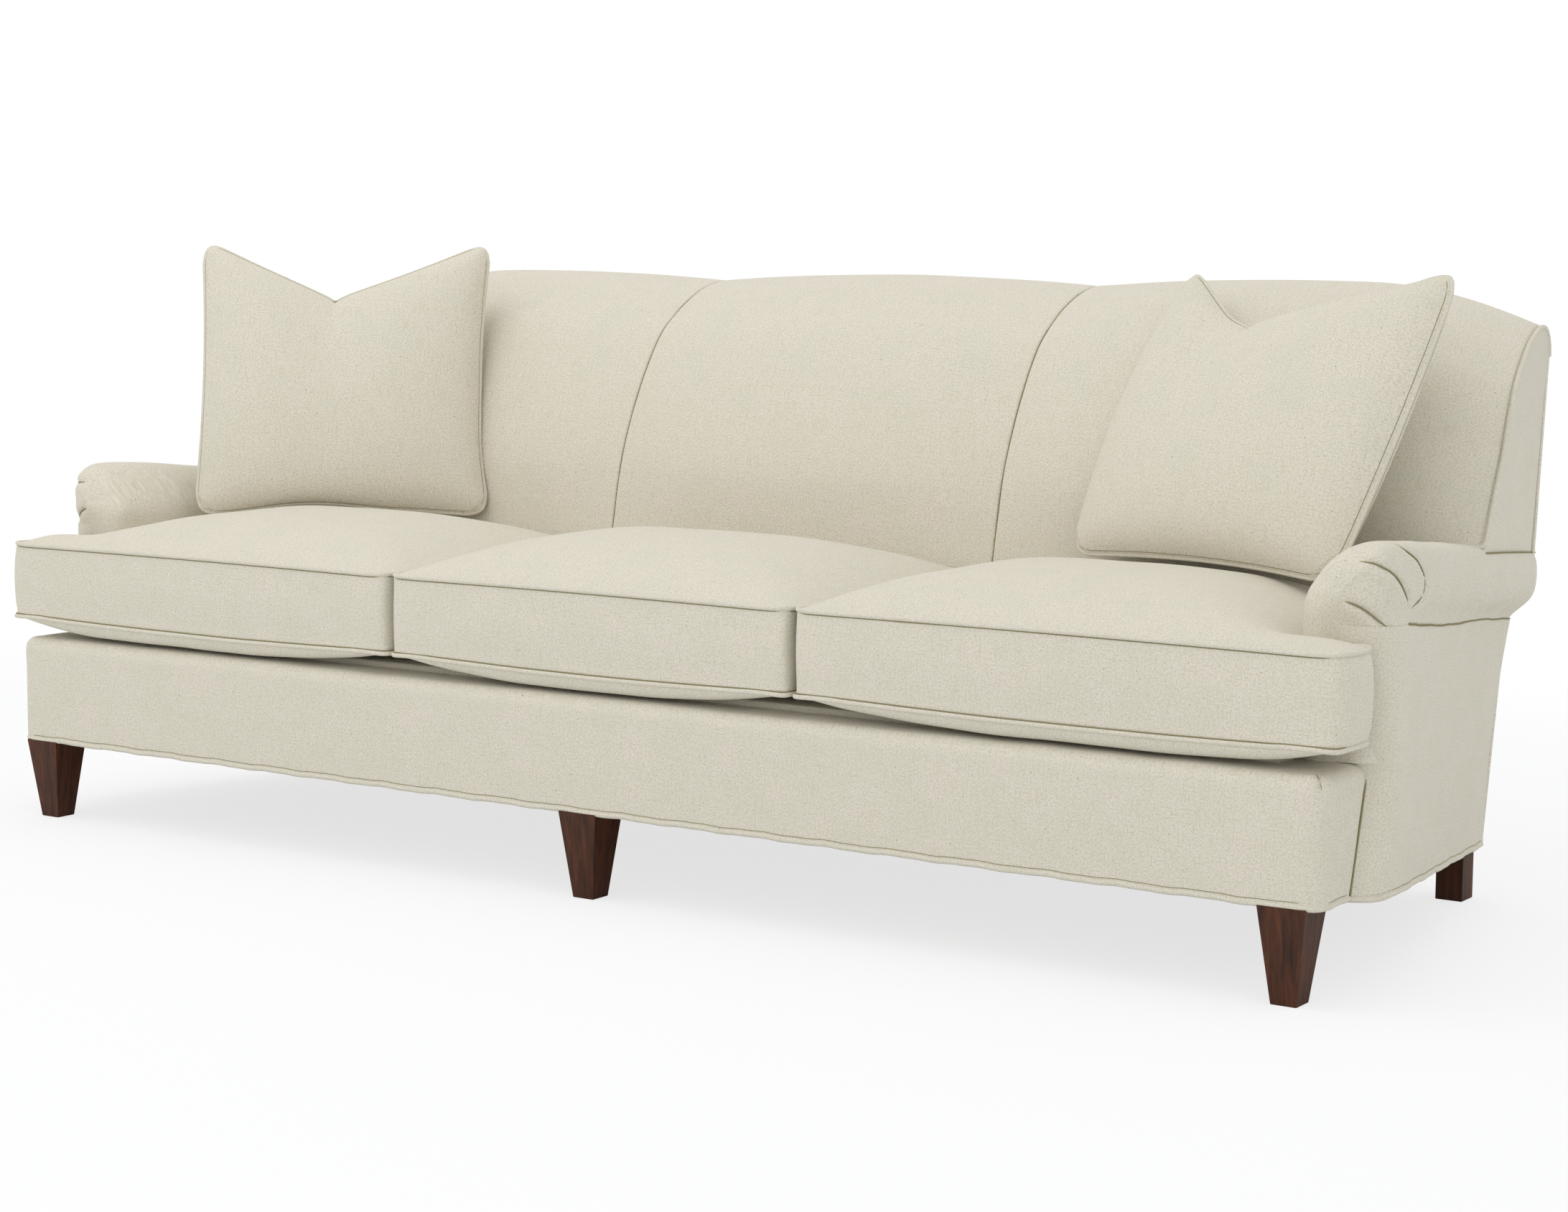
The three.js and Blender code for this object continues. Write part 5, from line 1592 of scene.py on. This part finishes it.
def underside(shape, left, right):
    """Near its front the underside hangs full below the lower rim, deepest in the middle of the cushion."""
    hang_ends = [HANG_EAR if abs(end) > EAR_FROM else HANG_END for end in (left, right)]
    front = shape[:, 1].min() + HANG_START
    run = np.clip(shape[:, 1] - front, 0, None)
    near = (shape[:, 2] < RIM_LOW - UNDER_CLEAR) & (run < HANG_RUN)
    run[near] = HANG_RUN * (run[near] / HANG_RUN) ** HANG_GROWTH
    share = (shape[:, 0] - left) / (right - left)
    deep = HANG_DEEP * (1 - np.abs(2 * share - 1) ** np.where(share < 0.5, *hang_ends))
    rounded = np.sqrt(np.clip(1 - (1 - np.clip(run / HANG_ROUND, 0, 1)) ** 2, 0, 1))
    fading = eased_step((HANG_RUN - run) / (HANG_RUN - HANG_ROUND))
    hung = RIM_LOW - deep * rounded
    shape[near, 1] = front + run[near]
    shape[near, 2] = lerp(shape[near, 2], np.minimum(shape[near, 2], hung[near]), fading[near])


# %% Seat cushions
RIM_NEAR = 0.007
TOP_FACING = 0.6  # the crowned top counts as flat down to here
WELT_ROOM = 0.0030
SEAM_DROP = 0.0040
EAR_RUN = 0.10
EAR_OUT = 0.010
EAR_SWELL = 0.004
SHRUNK = 0.965
SEAT_PRESSURE = 3.0
SEAT_CAP = 0.006
TOP_WAVE = 0.0016
TOP_WAVE_SIZE = 0.10
TOP_WAVE_FROM = 0.004  # the top's waves start this far above its rim, and are full after this rise
TOP_WAVE_RISE = 0.02
UNDER_WAVE_FROM = 0.002
UNDER_WAVE_RISE = 0.01
BAND_WAVE = 0.0010
BAND_WAVE_SIZE = 0.06
BAND_FADE = 0.02  # the boxing's waves fade over this distance before a rim


def seat_rim(edge):
    """A cushion's rims are its sharp level edges at two heights."""
    heights = [vertex.co.z for vertex in edge.verts]
    level_edge = any(all(abs(z - rim) < RIM_NEAR for z in heights) for rim in (RIM_LOW, RIM_HIGH))
    sharp = len(edge.link_faces) == 2 and edge.calc_face_angle() > RIM_TURN
    return 1.0 if level_edge and sharp else None


def cushion_cloth(at, way):
    """The top is laid flat, and the boxing runs round it."""
    flat = np.abs(way[:, 2]) > TOP_FACING
    u = np.where(~flat & facing(way, X_AXIS), at[:, 1], at[:, 0])
    return u, np.where(flat, at[:, 1], at[:, 2])


def cushion(node, body):
    piece = cage_of(node, node.replace("seat_cushion", "cushion_cover"), seat_rim)
    low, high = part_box(node)
    centre = np.array([(low.x + high.x) / 2, (low.y + high.y) / 2])
    half = np.array([(high.x - low.x) / 2, (high.y - low.y) / 2])
    places = places_of(piece)
    places[:, :2] = centre + (places[:, :2] - centre) * (half - WELT_ROOM) / half
    places[:, 2] -= np.maximum(places[:, 2] - RIM_HIGH, 0) * (1 - SHRUNK)
    places[:, 0] += np.sign(places[:, 0]) * EAR_OUT * eased_step((np.abs(places[:, 0]) - EAR_FROM) / EAR_RUN)
    put(piece, places)
    subdivided(piece, 2)
    blown_up(piece, SEAT_PRESSURE, SEAT_CAP)
    subdivided(piece, 1)
    shape = places_of(piece)
    underside(shape, low.x + WELT_ROOM, high.x - WELT_ROOM)
    for k, (x, y, z) in enumerate(shape):
        above = clamp((z - RIM_HIGH - TOP_WAVE_FROM) / TOP_WAVE_RISE)
        below = clamp((RIM_LOW - z - UNDER_WAVE_FROM) / UNDER_WAVE_RISE)
        between = clamp((z - RIM_LOW) / BAND_FADE) * clamp((RIM_HIGH - z) / BAND_FADE)
        end = clamp((abs(x) - EAR_FROM - EAR_RUN) / BAND_FADE)
        shape[k, 2] += TOP_WAVE * (above + below) * ripple(x, y, 0, size=TOP_WAVE_SIZE, seed=5)
        shape[k, 1] -= BAND_WAVE * between * ripple(x, y, z, size=BAND_WAVE_SIZE, seed=8)
        shape[k, 0] += math.copysign(EAR_SWELL, x) * between * end
    put(piece, shape)
    rims = rim_lines(piece)
    mapped(piece, cushion_cloth)
    upholster(piece, body, node)
    rims.sort(key=lambda rim: rim[0].z)
    # Beside each welt, a thin line of painted shade marks its seam.
    for word, inwards, rim in zip(("lower", "upper"), (SEAM_DROP, -SEAM_DROP), rims):
        welt(f"{piece.name}_{word}_welt", rim, body, closed=True, ease=1)
        sewn = [point + Vector((0, 0, inwards)) for point in rim]
        seam_shade_line(f"{piece.name}_{word}_seam", sewn, body, closed=True, ease=1)
    print(node, "rims", [len(rim) for rim in rims])


for word in ("left", "centre", "right"):
    cushion(f"{word}_seat_cushion", f"{word}_seat")

# %% [markdown]
# A throw pillow is two squares of cloth sewn at a knife edge with piping. Its top is pressed in by hand and
# its tips are blunt. All this is easiest in the pillow's own plane, so its three directions are found first.

# %% The form of a pillow
TIP = 0.024  # the last stretch of each tip is blunt
TIP_PULL = 0.5
NOTCH_DEEP = 0.014
NOTCH_WIDE = 0.016
NOTCH_NEAR = 0.15  # the notch is within this distance of the middle
NOTCH_FADE = 0.13


def pillow_axes(places):
    """The pillow's own directions: across, up and out of its plane."""
    _, _, axes = np.linalg.svd(places - places.mean(axis=0), full_matrices=False)
    flattest, steepest = sorted(axes[:2], key=lambda axis: abs(axis[2]))
    steepest = steepest * np.sign(steepest[2])
    return np.array([flattest, steepest, np.cross(flattest, steepest)])


def pressed_in(own, on_rim):
    """Blunts the four tips and presses the top in at its lowest point, in the pillow's own directions."""
    top = on_rim & (own[:, 1] > 0) & (np.abs(own[:, 0]) < NOTCH_NEAR)
    notch = own[top][np.argmin(own[top][:, 1]), 0]
    reach = np.hypot(own[:, 0], own[:, 1])
    quarter = 2 * (own[:, 0] > 0) + (own[:, 1] > 0)
    for corner in range(4):
        mine = quarter == corner
        beyond = np.maximum(reach[mine] - (reach[mine].max() - TIP), 0)
        own[mine, :2] *= (1 - TIP_PULL * beyond / np.maximum(reach[mine], 1e-6))[:, None]
    chop = NOTCH_DEEP * np.exp(-np.abs(own[:, 0] - notch) / NOTCH_WIDE)
    own[:, 1] -= chop * np.clip(own[:, 1] / NOTCH_FADE, 0, 1) ** 2


# %% Throw pillows
PIPING = 0.0034
PIPE_STEPS = 260
PIPE_WINDOW = 0.011  # radians
PIPE_SEAM = 0.0058
KNIFE_BAND = 0.009  # the edges across the knife edge are shorter than this
PILLOW_PRESSURE = 2.5
PILLOW_CAP = 0.007


def piping_line(rim):
    """A closed smooth line through the points of the knife edge, by their angle round the middle."""
    angles = np.arctan2(rim[:, 1], rim[:, 0])
    line = []
    for angle in np.linspace(-math.pi, math.pi, PIPE_STEPS, endpoint=False):
        apart = np.abs((angles - angle + math.pi) % (2 * math.pi) - math.pi)
        pull = np.exp(-((apart / PIPE_WINDOW) ** 2))
        line.append((pull[:, None] * rim).sum(axis=0) / pull.sum())
    return line


def knife_edge(edge):
    return 0.0 if edge.calc_length() < KNIFE_BAND else None


def pillow(node, body):
    piece = cage_of(node, node.replace("pillow", "pillow_cover"), knife_edge)
    subdivided(piece, 2)
    blown_up(piece, PILLOW_PRESSURE, PILLOW_CAP)
    subdivided(piece, 1)
    places = places_of(piece)
    centre = places.mean(axis=0)
    axes = pillow_axes(places)
    own = (places - centre) @ axes.T
    on_rim = held_points(piece)
    pressed_in(own, on_rim)
    put(piece, centre + own @ axes)
    line = [Vector(centre + point @ axes) for point in piping_line(own[on_rim])]
    mapped(piece, lambda at, way: (at @ axes[0], at @ axes[1]))
    upholster(piece, body, node)
    welt(f"{piece.name}_piping", line, body, closed=True, radius=PIPING, ease=1)
    # On both faces, a thin line of painted shade marks the seam inside the piping.
    for word, face in (("front", -1), ("rear", 1)):
        outward = axes[2] * np.sign(axes[2][1]) * face
        inner = []
        for point in line:
            reach = np.array(point) - centre
            reach *= 1 - PIPE_SEAM / np.linalg.norm(reach)
            inner.append(Vector(centre + reach + outward * PIPE_SEAM))
        sewn = laid_on(piece, [*inner, inner[0]])
        seam_shade_line(f"{piece.name}_{word}_seam", sewn[:-1], body, closed=True, radius=0.0007, ease=1)


for word in ("left", "right"):
    pillow(f"{word}_pillow", f"{word}_throw_pillow")

# %% [markdown]
# The sofa stands on a plain pale floor under soft light. The floor and the world are white to the camera
# alone, so the picture's ground is white while the light on the cloth stays plain.

# %% Floor and world
FLOOR_SIZE = 60
FLOOR_ACROSS = 2.1  # the floor is blank to the camera beyond this oval
FLOOR_DEEP = 1.5
FLOOR_FADE = 1.7  # it is fully blank at this many times the oval
FLOOR_BLANK = 0.74  # share of plain white mixed in under the sofa, so that its shadow stays soft
FLOOR_COLOUR = (0.86, 0.88, 0.885, 1)
WHITE = (1.0, 1.0, 1.0, 1.0)
SKY = 0.92


def pale_floor():
    clear()
    bpy.ops.mesh.primitive_plane_add(size=FLOOR_SIZE, location=(0, 0, 0))
    floor = bpy.context.object
    floor.name = "floor"
    values = {"Roughness": 1.0, "Specular IOR Level": 0.0, "Base Color": FLOOR_COLOUR}
    material, tree, shader = new_material("pale_floor", values)
    place = add_node(tree, "TexCoord").outputs["Object"]
    oval = (1 / FLOOR_ACROSS, 1 / FLOOR_DEEP, 0)
    shrunk = add_node(tree, "VectorMath", {1: oval}, {0: place}, operation="MULTIPLY")
    away = add_node(tree, "VectorMath", links={0: shrunk}, operation="LENGTH").outputs["Value"]
    fading = {"From Min": 1.0, "From Max": FLOOR_FADE, "To Min": FLOOR_BLANK, "To Max": 1.0}
    blank = add_node(tree, "MapRange", fading, {"Value": away}, interpolation_type="SMOOTHSTEP")
    rays = add_node(tree, "LightPath").outputs["Is Camera Ray"]
    shown = add_node(tree, "Math", links={0: rays, 1: blank}, operation="MULTIPLY")
    white = add_node(tree, "Emission", {"Color": WHITE, "Strength": 1.0})
    both = add_node(tree, "MixShader", links={0: shown, 1: shader, 2: white})
    output = next(node for node in tree.nodes if node.type == "OUTPUT_MATERIAL")
    tree.links.new(output_of(both), output.inputs["Surface"])
    floor.data.materials.append(material)


def pale_world():
    world = bpy.data.worlds.new("studio")
    bpy.context.scene.world = world
    world.use_nodes = True
    tree = world.node_tree
    tree.nodes.clear()
    rays = add_node(tree, "LightPath").outputs
    soft = add_node(tree, "Background", {"Color": WHITE, "Strength": SKY})
    white = add_node(tree, "Background", {"Color": WHITE, "Strength": 1.0})
    seen = {0: rays["Is Camera Ray"], 1: rays["Is Glossy Ray"]}
    shown = add_node(tree, "Math", links=seen, operation="MAXIMUM")
    blend = add_node(tree, "MixShader", links={0: shown, 1: soft, 2: white})
    add_node(tree, "OutputWorld", links={0: blend})
    print("world", len(tree.nodes), "nodes")


pale_floor()
pale_world()

# %% Lamps
SEAT_MIDDLE = Vector((0, 0, 0.4))
WARM = (1.0, 0.985, 0.97)


def softbox(name, place, size, power):
    data = bpy.data.lights.new(name, "AREA")
    data.shape = "DISK"
    data.size = size
    data.energy = power
    data.color = WARM
    lamp = linked(name, data)
    lamp.location = place
    lamp.rotation_euler = (SEAT_MIDDLE - Vector(place)).to_track_quat("-Z", "Y").to_euler()
    print(name, power, "W")


softbox("overhead", (-1.2, -1.6, 4.2), 3.2, 34)
softbox("front_fill", (1.2, -4.6, 1.9), 2.6, 12)

# %% [markdown]
# The Standard view shows a colour as it is written.

# %% Finish
bpy.context.scene.view_settings.view_transform = "Standard"
